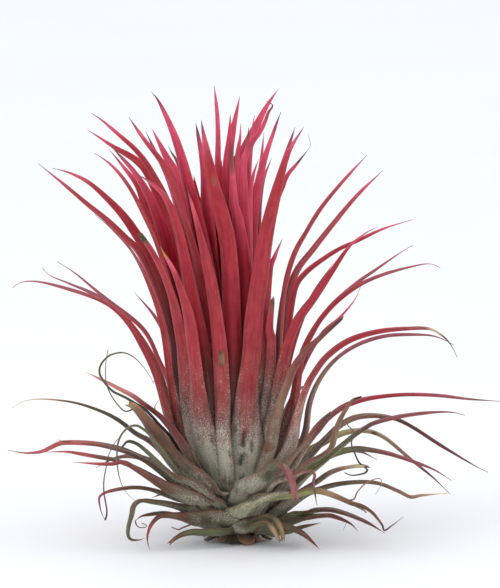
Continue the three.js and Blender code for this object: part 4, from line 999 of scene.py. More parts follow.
def rear_path(tier, turn, fan, length, rises, draw):
    """Equal steps whose rise goes evenly from root to middle to tip, fanning aside early and swaying late."""
    radius, height = TIERS[tier][:2]
    sway = math.radians(REAR_SWAY) * (2 * draw - 1)
    share = (np.arange(REAR_STEPS) + 0.5) / REAR_STEPS
    rise = np.radians(np.interp(share, (0, 0.5, 1), rises))
    radius = radius + np.cumsum(np.cos(rise)) * length / REAR_STEPS
    height = height + np.cumsum(np.sin(rise)) * length / REAR_STEPS
    done = np.arange(1, REAR_STEPS + 1) / REAR_STEPS
    side = turn + math.radians(fan) * smooth(2 * done) + sway * done**2
    points = np.column_stack([radius * np.sin(side), -radius * np.cos(side), height])
    return np.vstack([on_stem(tier, turn), points])


def curve_at(path, t):
    """Catmull-Rom curve at t from 0 to 1: each span is a Hermite cubic whose end tangents are half the
    chord between the neighbouring points.
    """
    padded = np.vstack([2 * path[0] - path[1], path, 2 * path[-1] - path[-2]])
    place = t * (len(path) - 1)
    span = np.minimum(place.astype(int), len(path) - 2)
    w = (place - span)[:, None]
    before, start, end, after = (padded[span + k] for k in range(4))
    leave = 0.5 * (end - before)
    arrive = 0.5 * (after - start)
    square = 3 * (end - start) - 2 * leave - arrive
    cube = 2 * (start - end) + leave + arrive
    return start + leave * w + square * w**2 + cube * w**3


def spaced(path, count):
    """count + 1 points at equal steps along the curve, measured on short chords."""
    t = np.linspace(0, 1, CHORDS + 1)
    chords = np.linalg.norm(np.diff(curve_at(path, t), axis=0), axis=1)
    reach = np.concatenate([[0], np.cumsum(chords)])
    return curve_at(path, np.interp(np.linspace(0, reach[-1], count + 1), reach, t))


def draws(seed, count):
    """Lehmer numbers from 0 to 1."""
    state, found = seed, []
    for _ in range(count):
        state = state * DRAW_FACTOR % DRAW_MODULUS
        found.append(state / DRAW_MODULUS)
    return found


def width_at(share, width, root_width, blunt):
    """Root width swelling smoothly to full width at 20 %, then tapering as 1 - past^2.2 to the blunt end."""
    swell = root_width + (width - root_width) * smooth(share / FULL_WIDTH_AT)
    past = np.maximum(0, (share - FULL_WIDTH_AT) / (1 - FULL_WIDTH_AT))
    return swell * (1 - (1 - blunt) * past**TAPER_POWER)


def thickness_at(share):
    """Thickness of a solid blade, evenly from root to tip."""
    return mix(BLADE_THICKNESS, TIP_THICKNESS, share)


def least_height(share, widths):
    """How high a blade's line stays over the ground: half its thickness, a gap and a share of its width."""
    return thickness_at(share) / 2 + FLOOR_GAP + EDGE_DROP * widths


def unit(vectors):
    """The vectors over their lengths."""
    return vectors / np.maximum(np.linalg.norm(vectors, axis=-1, keepdims=True), TINY)


def without(vectors, along):
    """Unit vectors of what is left of the vectors without their part along the blade."""
    return unit(vectors - along * np.sum(vectors * along, axis=-1, keepdims=True))


def along_of(lines):
    """Direction of each line at each station: the chord between the neighbours."""
    ahead = np.concatenate([lines[:, 1:], lines[:, -1:]], axis=1)
    behind = np.concatenate([lines[:, :1], lines[:, :-1]], axis=1)
    return unit(ahead - behind)


def frames_of(lines, turns):
    """Along, across and up at each station of each line. Across starts level round the stem and loses its
    part along the blade at each station; up = along x across.
    """
    along = along_of(lines)
    across = np.empty_like(lines)
    now = np.column_stack([np.cos(turns), np.sin(turns), np.zeros(len(turns))])
    for i in range(lines.shape[1]):
        now = without(now, along[:, i])
        across[:, i] = now
    return along, across, np.cross(along, across)


def clasping(lines, turns):
    """Across vector of the visible blades at each station. On the sheath it is along x out, with out level
    and away from the stem, plus a little of the direction round the stem, so that the broad face looks
    outwards; past the sheath it only loses its part along the blade.
    """
    along = along_of(lines)
    steps = np.linalg.norm(np.diff(lines, axis=1), axis=2)
    reach = np.cumsum(np.concatenate([np.zeros((len(lines), 1)), steps], axis=1), axis=1)
    out = np.column_stack([np.sin(turns), -np.cos(turns), np.zeros(len(turns))])
    level = np.column_stack([np.cos(turns), np.sin(turns), np.zeros(len(turns))])
    across = np.empty_like(lines)
    now = level
    for i in range(lines.shape[1]):
        clasp = np.cross(along[:, i], out) + ROUND_SHARE * level
        now = np.where(reach[:, i : i + 1] < CLASP_TO, clasp, now)
        now = without(now, along[:, i])
        across[:, i] = now
    return across


def figure_at(leaf, reach):
    """Seen width at each reach in mm: the sheath swells from its foot to full width, narrows smoothly to
    the blade's width, and the blade tapers as 1 - past^power down to the blunt end; a shrunken look keeps
    only its share.
    """
    sheath, body, full, shoulder, start, power = FIGURE[leaf["tier"]]
    broad, narrow = BROAD.get(leaf["node"], (sheath * leaf["width"], shoulder))
    swell = broad * mix(FOOT_SHARE, 1, smooth(reach / full))
    width = mix(swell, body * leaf["width"], smooth((reach - full) / (narrow - full)))
    past = np.maximum(0, (reach / reach[-1] - start) / (1 - start))
    width = width * (1 - (1 - leaf["blunt"]) * past ** TAPERS.get(leaf["node"], power))
    places, shares = zip(*SHRUNK.get(leaf["look"], ((0, 1),)))
    return width * np.interp(reach, places, shares)


def settle(lines, widths, turns):
    """Leaves that come too near push each other apart, mostly in depth, and keep their curve.

    Three beads stand across each station. Where two beads of different leaves are closer than their radii
    and the clearance, each leaf moves by the depth-weighted mean of the overlaps, spread over its
    neighbouring stations and smoothed along the leaf.
    """
    start = lines.copy()
    count, stations = lines.shape[:2]
    share = np.arange(stations) / STATIONS
    half = widths / 2
    radius = np.maximum(thickness_at(share) / 2, half / 3)
    side = np.maximum(half - radius, 0)
    lift = CHANNEL * side**2 / np.maximum(half, TINY)
    reach = (np.hypot(side, lift) + radius).ravel()
    hold = (smooth(np.arange(stations) / ROOT_HOLD) * GIVE_PER_SWEEP)[None, :, None]
    floor = least_height(share, widths)
    owner = np.repeat(np.arange(count), stations)
    signs = np.array([-1.0, 0.0, 1.0])
    apart = owner[:, None] < owner[None, :]
    limit = np.minimum(reach[:, None] + reach[None, :] + CLEARANCE, NEAR)
    total = count * stations
    for sweep in range(SWEEPS):
        along, across, up = frames_of(lines, turns)
        beads = (
            lines[:, :, None]
            + across[:, :, None] * (signs[:, None] * side[:, :, None, None])
            + up[:, :, None] * (signs[:, None] ** 2 * lift[:, :, None, None])
        ).reshape(total, 3, 3)
        flat = lines.reshape(total, 3)
        if sweep % PAIRS_KEPT_FOR == 0:
            square = np.sum(flat**2, axis=1)
            gaps = square[:, None] + square[None, :] - 2 * flat @ flat.T
            first, second = np.nonzero(apart & (gaps < (limit + PAIR_MARGIN) ** 2))
        close = np.sum((flat[first] - flat[second]) ** 2, axis=1) <= limit[first, second] ** 2
        a, b = first[close], second[close]
        between = beads[b][:, None] - beads[a][:, :, None]
        distance = np.linalg.norm(between, axis=-1)
        radii = radius.ravel()
        depth = np.maximum((radii[a] + radii[b] + CLEARANCE)[:, None, None] - distance, 0)
        push = np.sum(between * (depth**2 / np.maximum(distance, TINY))[..., None], axis=(1, 2))
        weight = depth.sum(axis=(1, 2))
        moves = np.empty((total, 3))
        for axis in range(3):
            moves[:, axis] = np.bincount(b, push[:, axis], total) - np.bincount(a, push[:, axis], total)
        weights = np.bincount(a, weight, total) + np.bincount(b, weight, total)
        moves /= np.where(weights > 0, weights, 1)[:, None]
        moves = (moves * (SIDEWAYS_GIVE, 1, SIDEWAYS_GIVE)).reshape(lines.shape)
        index = np.arange(stations)
        spread = sum(
            part * moves[:, np.clip(index + k - 2, 0, stations - 1)] for k, part in enumerate(GIVE_SPREAD)
        )
        offset = lines + spread * hold - start
        even = (
            0.25 * (offset[:, np.maximum(index - 1, 0)] + offset[:, np.minimum(index + 1, stations - 1)])
            + 0.5 * offset
        )
        lines = start + np.where((index > 0)[None, :, None], even, offset)
        lines[..., 2] = np.maximum(lines[..., 2], floor)
    return lines


@functools.cache
def leaves():
    """Every blade as a dictionary of its row's values, its seed, its settled line and its across vectors.
    After the leaves have made room for each other, each springs back sideways and in height, but keeps its
    depth.
    """
    keys = ("node", "tier", "turn", "width", "blunt", "look", "path")
    found = []
    for node, tier, turn, width, depth, blunt, look, seen in (*HEART, *UPRIGHT, *LEFT, *RIGHT):
        turn = math.radians(turn)
        path = seen_path(tier, turn, depth, seen)
        found.append(dict(zip(keys, (node, tier, turn, width, blunt, look, path))))
    for row, draw in zip(REAR, draws(REAR_SEED, len(REAR))):
        node, tier, turn, fan, width, length, *rises = row
        turn = math.radians(turn)
        path = rear_path(tier, turn, fan, length, rises, draw)
        found.append(dict(zip(keys, (node, tier, turn, width, 0, REAR_LOOKS.get(node, "low"), path))))
    share = np.linspace(0, 1, STATIONS + 1)
    lines = np.array([spaced(leaf["path"], STATIONS) for leaf in found])
    widths = np.array([
        width_at(share, leaf["width"], TIERS[leaf["tier"]][3], leaf["blunt"]) for leaf in found
    ])
    turns = np.array([leaf["turn"] for leaf in found])
    settled = settle(lines, widths, turns)
    back = bpy.context.scene.air_plant_blade.spring_back
    lines = mix(settled, lines, np.array((back, 0, back)))
    lines[..., 2] = np.maximum(lines[..., 2], least_height(share, widths))
    across = clasping(lines, turns)
    for number, leaf in enumerate(found):
        leaf.update(line=lines[number], across=across[number], seed=number)
    return found


def blades_of(node):
    return [leaf for leaf in leaves() if leaf["node"] == node]


def along_stops(look, reach, palette):
    """Colour at each reach in mm, straight between the stops; those before the tip count back from it."""
    base, tip, _ = LOOKS[look]
    room = max(min(1, (reach[-1] - base[-1][0]) / (tip[0][0] + TIP_ROOM)), CLOSEST_TIP)
    places = [place for place, _ in base] + [reach[-1] - place * room for place, _ in tip]
    names = [name for _, name in (*base, *tip)]
    colours = np.array([tuple(getattr(palette, name)) for name in names])
    places = np.maximum.accumulate(places)
    return np.column_stack([np.interp(reach, places, colours[:, k]) for k in range(3)])


def marked(leaf, points, hue, frost, palette):
    """Lays the leaf's marks over its colours: full in the middle, gone at the rim of an ellipse."""
    seen = np.stack([points[..., 0], points[..., 2] + SIGHT_SLOPE * points[..., 1]], axis=-1)
    spine = seen.mean(axis=1)
    along = unit(np.gradient(spine, axis=0))
    for node, x, height, half_length, half_width, colour, strength in MARKS:
        if node != leaf["node"]:
            continue
        aside = seen - (x, height)
        down = np.sum(aside * along[:, None], axis=-1) / half_length
        out = (aside[..., 0] * along[:, None, 1] - aside[..., 1] * along[:, None, 0]) / half_width
        share = strength * smooth(2 * (1 - np.hypot(down, out)))
        hue = mix(hue, np.array(getattr(palette, colour)), share[..., None])
        frost = frost * (1 - share)
    return hue, frost


def wave(share, seed, turns):
    """Sum of sin(k x) / k for k of 1, 2 and 3, each with a seeded phase, over 1.8: about -1 to 1."""
    phases = np.array(draws(seed + WAVE_SEED, 3)) * 2 * math.pi
    sines = (np.sin(turns * k * 2 * math.pi * share + phase) / k for k, phase in zip((1, 2, 3), phases))
    return sum(sines) / 1.8


def reach_of(line):
    """Length along a line of points at each of them."""
    return np.concatenate([[0], np.cumsum(np.linalg.norm(np.diff(line, axis=0), axis=1))])


def skin_values(half, length, wide, high, seed, hue, frost):
    """Attributes of a skin: colour, cover of pale scales, closeness to the margin, and its own flat
    coordinates, which are mm across, mm along and a step for each leaf.
    """
    rings, sides = len(length), len(wide)
    skin = np.empty((rings, sides, 3))
    skin[..., 0] = wide[None, :] * half[:, None] + np.where(high > 0, INNER_FACE, 0)[None, :]
    skin[..., 1] = length[:, None]
    skin[..., 2] = seed * SKIN_STEP
    margin = np.repeat(np.abs(wide)[None, :], rings, axis=0)
    return {"hue": hue, "frost": frost, "margin": margin, "skin": skin}


def blade_colours(leaf, points, length, wide, palette):
    """Colour and cover of pale scales over a blade's grid: the look's own along the leaf, then its marks, a
    dark line along the margins of the sheath, and farther out a thin margin that lets light through.
    """
    hue = np.repeat(along_stops(leaf["look"], length, palette)[:, None], len(wide), axis=1)
    places, covers = zip(*LOOKS[leaf["look"]][2])
    frost = np.repeat(np.interp(length, places, covers)[:, None], len(wide), axis=1)
    hue, frost = marked(leaf, points, hue, frost, palette)
    out = np.abs(wide)[None, :]
    line = ease(out, LINE_FROM, 1) * (ease(length, *LINE_IN) * ease(length, *LINE_OUT))[:, None]
    hue = mix(hue, np.array(palette.mottle), LINE_STRENGTH * line[..., None])
    frost = frost * (1 - LINE_BARE * line)
    thin = ease(out, THIN_FROM, 1) * ease(length, *THIN_IN)[:, None]
    red = hue[..., :1] > THIN_LEAST_RED
    return mix(hue, np.array(palette.blush), THIN_STRENGTH * thin[..., None] * red), frost


def blade_grid(leaf, blade, palette):
    """A leaf's skin as rings along its line.

    A point is line + across * w * half + up * (h * thickness / 2 + channel * half * w^2), with w = cos a
    and h = sin a round the ring, so that the blade is a lens in section, bent into a channel. The root of
    the line is drawn in towards the axis of the stem. Past the sheath, across turns slowly about the line.
    The last rings of a blunt tip move along the line by a wave round the ring.
    """
    rings, sides = blade.rings, blade.sides
    share = np.linspace(0, 1, rings)
    line = curve_at(leaf["line"], share)
    tuck = TUCK * (1 - smooth(reach_of(line) / TUCK_TO))
    line[:, :2] *= 1 - tuck[:, None]
    along = unit(np.gradient(line, axis=0))
    across = without(curve_at(leaf["across"], share), along)
    up = np.cross(along, across)
    length = reach_of(line)
    twist = blade.twist * wave(share, leaf["seed"] + TWIST_SEED, 1)
    turn = twist * smooth((length - CLASP_TO) / TWIST_OVER)
    across = across * np.cos(turn)[:, None] + up * np.sin(turn)[:, None]
    up = np.cross(along, across)
    half = figure_at(leaf, length) * (1 + blade.wobble * wave(share, leaf["seed"], WOBBLES)) / 2
    most = np.maximum(2 * half * blade.needle, LEAST_THICKNESS)
    thick = np.minimum(thickness_at(share) * blade.fullness, most)
    wide, high = round_steps(sides)
    points = (
        line[:, None]
        + across[:, None] * (wide[None, :, None] * half[:, None, None])
        + up[:, None] * (
            high[None, :, None] * thick[:, None, None] / 2
            + blade.channel * half[:, None, None] * wide[None, :, None] ** 2
        )
    )
    if leaf["blunt"]:
        torn = wave(np.linspace(0, 1, sides), leaf["seed"] + TORN_SEED, TORN_WAVES) - TORN_MIDDLE
        late = ease(share, 1 - TORN_OVER, 1) * TORN_DEPTH
        points = points + along[:, None] * (late[:, None, None] * torn[None, :, None])
    points[..., 2] = np.maximum(points[..., 2], LEAST_HEIGHT)
    hue, frost = blade_colours(leaf, points, length, wide, palette)
    return points, skin_values(half, length, wide, high, leaf["seed"], hue, frost)


def round_grid(line, radius, hue, seed, flat=1.0):
    """An ellipse carried along a line with its wide axis level: radius wide, and flat times that high. A hint
    is added to the level axis, so that a line that stands upright has one too.
    """
    along = unit(np.gradient(line, axis=0))
    across = without(np.cross(along, (0.0, 0.0, 1.0)) + LEVEL_HINT, along)
    up = np.cross(along, across)
    wide, high = round_steps(THREAD_SIDES)
    size = radius[:, None, None]
    points = line[:, None] + size * (across[:, None] * wide[:, None] + up[:, None] * (high[:, None] * flat))
    points[..., 2] = np.maximum(points[..., 2], LEAST_HEIGHT)
    hue = np.repeat(hue[:, None], THREAD_SIDES, axis=1)
    frost = np.full(points.shape[:2], THREAD_FROST)
    return points, skin_values(radius, reach_of(line), wide, high, seed, hue, frost)


def thread_grids(node, palette):
    """Dried threads that a node's leaves carry. Depth goes evenly from the leaf's own to that of the end."""
    grids = []
    for owner, number, share, thick, thin, first, last, depth, seen in THREADS:
        if owner != node:
            continue
        leaf = blades_of(node)[number]
        start = curve_at(leaf["line"], np.array([share]))[0]
        seen = np.array(seen, float)
        deep = mix(start[1], depth, np.arange(1, len(seen) + 1) / len(seen))
        path = np.vstack([start, np.column_stack([seen[:, 0], deep, seen[:, 1] - SIGHT_SLOPE * deep])])
        line = curve_at(path, np.linspace(0, 1, THREAD_RINGS))
        along = np.linspace(0, 1, THREAD_RINGS)[:, None]
        hue = mix(np.array(getattr(palette, first)), np.array(getattr(palette, last)), along)
        radius = mix(thick, thin, along[:, 0])
        grids.append(round_grid(line, radius, hue, leaf["seed"] + THREAD_SKIN))
    return grids


def fringe(leaf, points, values, blade, palette):
    """Scales that stand off the sheath: three-sided spikes, each with its foot in the skin.

    The foot lies between two rings of the grid. The spike leans by the way from the blade's line, the way
    to the tip and a random way, each times its own share.
    """
    dice = np.random.default_rng(HAIR_SEED + leaf["seed"])
    rings, sides = points.shape[:2]
    middle = points.mean(axis=1)
    length = reach_of(middle)
    usable = np.nonzero((length > HAIR_FROM) & (length < HAIR_TO))[0]
    count = blade.hairs
    ring = dice.choice(usable, count)
    edge = np.where(dice.random(count) < 0.5, 0, sides // 2)
    side = np.where(dice.random(count) < HAIR_ON_MARGIN, edge, dice.integers(sides // 2, sides, count))
    foot = mix(points[ring, side], points[np.minimum(ring + 1, rings - 1), side], dice.random((count, 1)))
    ahead = unit(np.gradient(middle, axis=0))[ring]
    away = unit(foot - middle[ring])
    lean = unit(LEAN_AWAY * away + LEAN_AHEAD * ahead + LEAN_ASTRAY * dice.normal(size=(count, 3)))
    tall = blade.hair_length / MM * mix(HAIR_SHORTEST, 1, dice.random((count, 1)))
    first = unit(np.cross(lean, away + HAIR_HINT))
    second = np.cross(lean, first)
    foot = foot - HAIR_SUNK * away
    wide, high = round_steps(3)
    base = foot[:, None] + HAIR_RADIUS * (first[:, None] * wide[:, None] + second[:, None] * high[:, None])
    corners = np.concatenate([base, (foot + lean * tall)[:, None]], axis=1)
    corners[..., 2] = np.maximum(corners[..., 2], LEAST_HEIGHT / 2)
    start = (np.arange(count) * 4)[:, None, None]
    faces = np.array([(0, 2, 1), (0, 1, 3), (1, 2, 3), (2, 0, 3)])[None] + start
    hue = mix(values["hue"][ring, side], np.array(palette.silver), HAIR_SILVER)
    shared = {
        "hue": np.repeat(hue, 4, axis=0),
        "frost": np.full((count * 4, 1), HAIR_FROST),
        "margin": np.zeros((count * 4, 1)),
        "skin": np.repeat(values["skin"][ring, side], 4, axis=0),
    }
    return corners.reshape(-1, 3), np.empty((0, 4), int), faces.reshape(-1, 3), shared


def close_grid(points, extra):
    """Vertices, quads and triangles of a tube of rings with a pole at each end."""
    rings, sides = points.shape[:2]
    number = np.arange(rings * sides).reshape(rings, sides)
    turned = np.roll(number, -1, axis=1)
    quads = np.stack([number[:-1], turned[:-1], turned[1:], number[1:]], axis=-1).reshape(-1, 4)
    foot, tip = rings * sides, rings * sides + 1
    closing = np.concatenate([
        np.column_stack([turned[0], number[0], np.full(sides, foot)]),
        np.column_stack([number[-1], turned[-1], np.full(sides, tip)]),
    ])
    vertices = np.concatenate([points.reshape(-1, 3), points[:1].mean(axis=1), points[-1:].mean(axis=1)])
    values = {}
    for name, value in extra.items():
        flat = value.reshape(rings * sides, -1)
        ends = np.stack([value[0].reshape(sides, -1).mean(axis=0), value[-1].reshape(sides, -1).mean(axis=0)])
        values[name] = np.concatenate([flat, ends])
    return vertices, quads, closing, values


def build_mesh(name, parts):
    """One mesh from closed grids: vertices in metres, faces, smooth shading and point attributes."""
    vertices, quads, triangles = [], [], []
    base = 0
    for points, four, three, _ in parts:
        vertices.append(points * MM)
        quads.append(four + base)
        triangles.append(three + base)
        base += len(points)
    vertices, quads, triangles = (np.concatenate(arrays) for arrays in (vertices, quads, triangles))
    corners = np.concatenate([quads.ravel(), triangles.ravel()])
    mesh = bpy.data.meshes.new(name)
    mesh.vertices.add(len(vertices))
    mesh.vertices.foreach_set("co", vertices.astype(np.float32).ravel())
    mesh.loops.add(len(corners))
    mesh.loops.foreach_set("vertex_index", corners.astype(np.int32))
    mesh.polygons.add(len(quads) + len(triangles))
    starts = np.concatenate([np.arange(len(quads)) * 4, quads.size + np.arange(len(triangles)) * 3])
    mesh.polygons.foreach_set("loop_start", starts.astype(np.int32))
    mesh.polygons.foreach_set("use_smooth", np.ones(len(starts), bool))
    mesh.update(calc_edges=True)
    kinds = {1: ("FLOAT", "value"), 3: ("FLOAT_VECTOR", "vector")}
    for key in parts[0][3]:
        values = np.concatenate([part[3][key] for part in parts]).astype(np.float32)
        kind, field = kinds[values.shape[1]]
        mesh.attributes.new(key, kind, "POINT").data.foreach_set(field, values.ravel())
    return mesh


def add_piece(node, parts, material):
    """Adds the finer piece of a node at the origin, rides it on the plant and hides the node's solid."""
    mesh = build_mesh(node, parts)
    piece = bpy.data.objects.new("fine_" + node, mesh)
    bpy.context.scene.collection.objects.link(piece)
    mesh.materials.append(material)
    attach(piece, "root")
    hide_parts(node)


class Graph:
    """Short names for the nodes and links of one material."""

    def __init__(self, name):
        self.material = bpy.data.materials.new(name)
        self.material.use_nodes = True
        self.tree = self.material.node_tree
        self.shader = self.tree.nodes["Principled BSDF"]

    def add(self, kind, sources=None, **settings):
        node = self.tree.nodes.new(kind)
        for key, value in settings.items():
            setattr(node, key, value)
        for key, source in (sources or {}).items():
            self.feed(node.inputs[key], source)
        return node

    def feed(self, socket, source):
        if isinstance(source, bpy.types.NodeSocket):
            self.tree.links.new(source, socket)
        else:
            socket.default_value = source

    def attribute(self, name):
        return self.add("ShaderNodeAttribute", attribute_name=name)

    def math(self, operation, *values, clamp=False):
        node = self.add("ShaderNodeMath", operation=operation, use_clamp=clamp)
        for socket, value in zip(node.inputs, values):
            self.feed(socket, value)
        return node.outputs[0]

    def noise(self, vector, scale, detail, roughness):
        sources = {"Vector": vector, "Scale": scale, "Detail": detail, "Roughness": roughness}
        return self.add("ShaderNodeTexNoise", sources).outputs["Fac"]

    def stretch(self, vector, scale):
        return self.add("ShaderNodeVectorMath", {0: vector, 1: scale}, operation="MULTIPLY").outputs[0]

    def grain(self, vector, stretch, scale, detail, roughness):
        return self.noise(self.stretch(vector, stretch), scale, detail, roughness)

    def shade(self, colour, value):
        return self.add("ShaderNodeVectorMath", {0: colour, "Scale": value}, operation="SCALE").outputs[0]

    def ramp(self, value, low, high, to_low=0.0, to_high=1.0):
        sources = {"Value": value, "From Min": low, "From Max": high, "To Min": to_low, "To Max": to_high}
        return self.add("ShaderNodeMapRange", sources, interpolation_type="SMOOTHSTEP").outputs[0]

    def blend(self, share, a, b):
        node = self.add("ShaderNodeMix", data_type="RGBA", blend_type="MIX", clamp_factor=True)
        self.feed(node.inputs["Factor"], share)
        for place, colour in ((6, a), (7, b)):
            plain = not isinstance(colour, bpy.types.NodeSocket)
            self.feed(node.inputs[place], (*colour, 1) if plain else colour)
        return node.outputs[2]

    def finish(self, sources):
        for name, source in sources.items():
            self.feed(self.shader.inputs[name], source)
        return self.material


def leaf_skin(name, blade, colours):
    """Leaf: the blade's own colour under pale scales. A haze and separate dots both thicken with the cover;
    a dot stands in each cell whose random number is below the cover. Veins run along the blade.
    """
    graph = Graph(name)
    skin = graph.attribute("skin").outputs["Vector"]
    hue = graph.attribute("hue").outputs["Color"]
    frost = graph.attribute("frost").outputs["Fac"]
    margin = graph.attribute("margin").outputs["Fac"]
    coarse = graph.grain(skin, *COARSE_GRAIN)
    veins = graph.grain(skin, *VEIN_GRAIN)
    rim = graph.math("MULTIPLY", graph.ramp(margin, *RIM_COVER), frost)
    cover = graph.math("MULTIPLY", graph.math("ADD", frost, rim), graph.ramp(coarse, *UNEVEN_COVER))
    cells = graph.add(
        "ShaderNodeTexVoronoi", {"Vector": graph.stretch(skin, DOT_STRETCH), "Scale": MM / blade.scale_size}
    )
    chance = graph.add("ShaderNodeSeparateColor", {"Color": cells.outputs["Color"]}).outputs[0]
    drawn = graph.ramp(graph.math("SUBTRACT", cover, chance), *DOT_EDGE)
    present = graph.math("MULTIPLY", drawn, graph.ramp(cover, *DOT_COVER))
    bright = graph.math("MULTIPLY", present, graph.ramp(cover, *DOT_STRENGTH))
    dot = graph.math("MULTIPLY", graph.ramp(cells.outputs["Distance"], *DOT_SHAPE), bright)
    veil = graph.math("MULTIPLY", cover, blade.haze, clamp=True)
    streak = graph.ramp(veins, *SKIN_STREAK)
    living = graph.shade(hue, graph.math("MULTIPLY", graph.ramp(coarse, *SKIN_TONE), streak))
    hazed = graph.blend(veil, living, graph.shade(tuple(colours.silver), streak))
    scaled = graph.blend(dot, hazed, tuple(min(1, c * DOT_BRIGHTNESS) for c in colours.silver))
    blot = graph.ramp(graph.grain(skin, *BLOT_GRAIN), *BLOT_STRENGTH)
    stained = graph.math("MULTIPLY", blot, graph.math("MINIMUM", frost, 1.0))
    height = graph.math(
        "ADD", graph.math("MULTIPLY", dot, DOT_RELIEF), graph.math("MULTIPLY", veins, VEIN_RELIEF)
    )
    relief = {"Height": height, "Distance": blade.relief, "Strength": BUMP_STRENGTH}
    return graph.finish({
        "Base Color": graph.blend(stained, scaled, tuple(colours.loam)),
        "Roughness": graph.ramp(cover, 0, 1, *(blade.roughness + change for change in COVER_ROUGHNESS)),
        "Sheen Weight": blade.bloom,
        "Sheen Roughness": SHEEN_ROUGHNESS,
        "Sheen Tint": SHEEN_TINT,
        "Specular IOR Level": SKIN_GLOSS,
        "Subsurface Weight": blade.glow,
        "Subsurface Radius": FLESH_RADIUS,
        "Subsurface Scale": FLESH_SCALE,
        "Normal": graph.add("ShaderNodeBump", relief).outputs[0],
    })


def stub_grid(turn, length, width, colour, number, palette):
    """A dry leaf foot: a flat ellipse that leaves the stem and bends down to the ground. It is broadest half
    way: to the width at its ends comes a share that goes as sin(pi x)^0.6.
    """
    turn = math.radians(turn)
    share = np.linspace(0, 1, THREAD_RINGS)
    out = STEM_FOOT - STUB_SUNK + (length + STUB_SUNK) * share
    height = mix(*STUB_HEIGHTS, smooth(share))
    line = np.column_stack([out * math.sin(turn), -out * math.cos(turn), height])
    swell = np.sin(math.pi * np.clip(share, 0, STUB_STOP)) ** STUB_POWER
    radius = width / 2 * (STUB_END + (1 - STUB_END) * swell)
    radius = radius * (1 + STUB_WOBBLE * wave(share, number + STUB_SEED, WOBBLES))
    fade = ease(share, 1 / 12, 11 / 12)[:, None]
    hue = mix(np.array(palette.dead_and_shade), np.array(getattr(palette, colour)), fade)
    return round_grid(line, radius, hue, number + STUB_SKIN, STUB_FLATNESS)


def stem_grid(height, palette):
    """The stem's side turned round its axis. The ridges only go in, by sin(n a + lean s) * sin(m pi s) times
    their depth, with a the angle round the stem and s the share of the way from its foot to its top.
    """
    place = np.linspace(0, 1, STEM_RINGS)
    side = curve_at(np.array([*STEM_SIDE, (STEM_TOP, height)], float), place)
    angle = np.arange(STEM_SIDES) * 2 * math.pi / STEM_SIDES
    ridge = RIDGE_DEPTH * np.sin(RIDGES * angle[None, :] + RIDGE_LEAN * place[:, None])
    ridge = ridge * np.sin(RIDGE_BREAKS * math.pi * place)[:, None]
    around = side[:, :1] + np.minimum(ridge, 0)
    up = np.broadcast_to(side[:, 1:], around.shape)
    points = np.stack([around * np.cos(angle), around * np.sin(angle), up], axis=-1)
    values = {
        "hue": np.broadcast_to(np.array(palette.ink), points.shape),
        "frost": around * 0,
        "margin": around * 0,
        "skin": np.stack([np.broadcast_to(angle * STEM_FOOT, around.shape), up, around * 0], axis=-1),
    }
    return points, values


def grow(context, nodes, slot):
    """One piece for each node, of all that node's blades, their standing scales and their dried threads."""
    blade, palette = context.scene.air_plant_blade, context.scene.air_plant_colours
    material = leaf_skin(slot.replace("_", " "), blade, palette)
    for node in nodes:
        parts = []
        for leaf in blades_of(node):
            points, values = blade_grid(leaf, blade, palette)
            parts.append(close_grid(points, values))
            parts.append(fringe(leaf, points, values, blade, palette))
        parts += [close_grid(*grid) for grid in thread_grids(node, palette)]
        add_piece(node, parts, material)


def nodes_of(slot):
    return [entry["node"] for entry in frame["record"]["subparts"] if entry["material_slot"] == slot]


class AIRPLANT_OT_stem(bpy.types.Operator):
    """Short dry stem with old leaf feet round its bottom"""

    bl_idname = "airplant.stem"
    bl_label = "Stem"

    def execute(self, context):
        blade, palette = context.scene.air_plant_blade, context.scene.air_plant_colours
        low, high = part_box("stem")
        parts = [close_grid(*stem_grid((high.z - low.z) / MM, palette))]
        parts += [close_grid(*stub_grid(*row, number, palette)) for number, row in enumerate(STUBS)]
        add_piece("stem", parts, leaf_skin("stem", blade, palette))
        return {"FINISHED"}


class AIRPLANT_OT_heart(bpy.types.Operator):
    """Upright inner leaves, crowded round the tip of the shoot"""

    bl_idname = "airplant.heart"
    bl_label = "Heart leaves"

    def execute(self, context):
        grow(context, nodes_of("heart_leaf"), "heart_leaf")
        return {"FINISHED"}


class AIRPLANT_OT_upright(bpy.types.Operator):
    """Outer upright leaves with silvery sheaths"""

    bl_idname = "airplant.upright"
    bl_label = "Upright leaves"

    def execute(self, context):
        grow(context, nodes_of("upright_leaf"), "upright_leaf")
        return {"FINISHED"}


class AIRPLANT_OT_side(bpy.types.Operator):
    """Leaves that arch out to the sides"""

    bl_idname = "airplant.side"
    bl_label = "Side leaves"

    def execute(self, context):
        grow(context, nodes_of("side_leaf"), "side_leaf")
        return {"FINISHED"}


class AIRPLANT_OT_low(bpy.types.Operator):
    """Low, dry and curled leaves near the ground"""

    bl_idname = "airplant.low"
    bl_label = "Low leaves"

    def execute(self, context):
        grow(context, nodes_of("low_leaf"), "low_leaf")
        return {"FINISHED"}


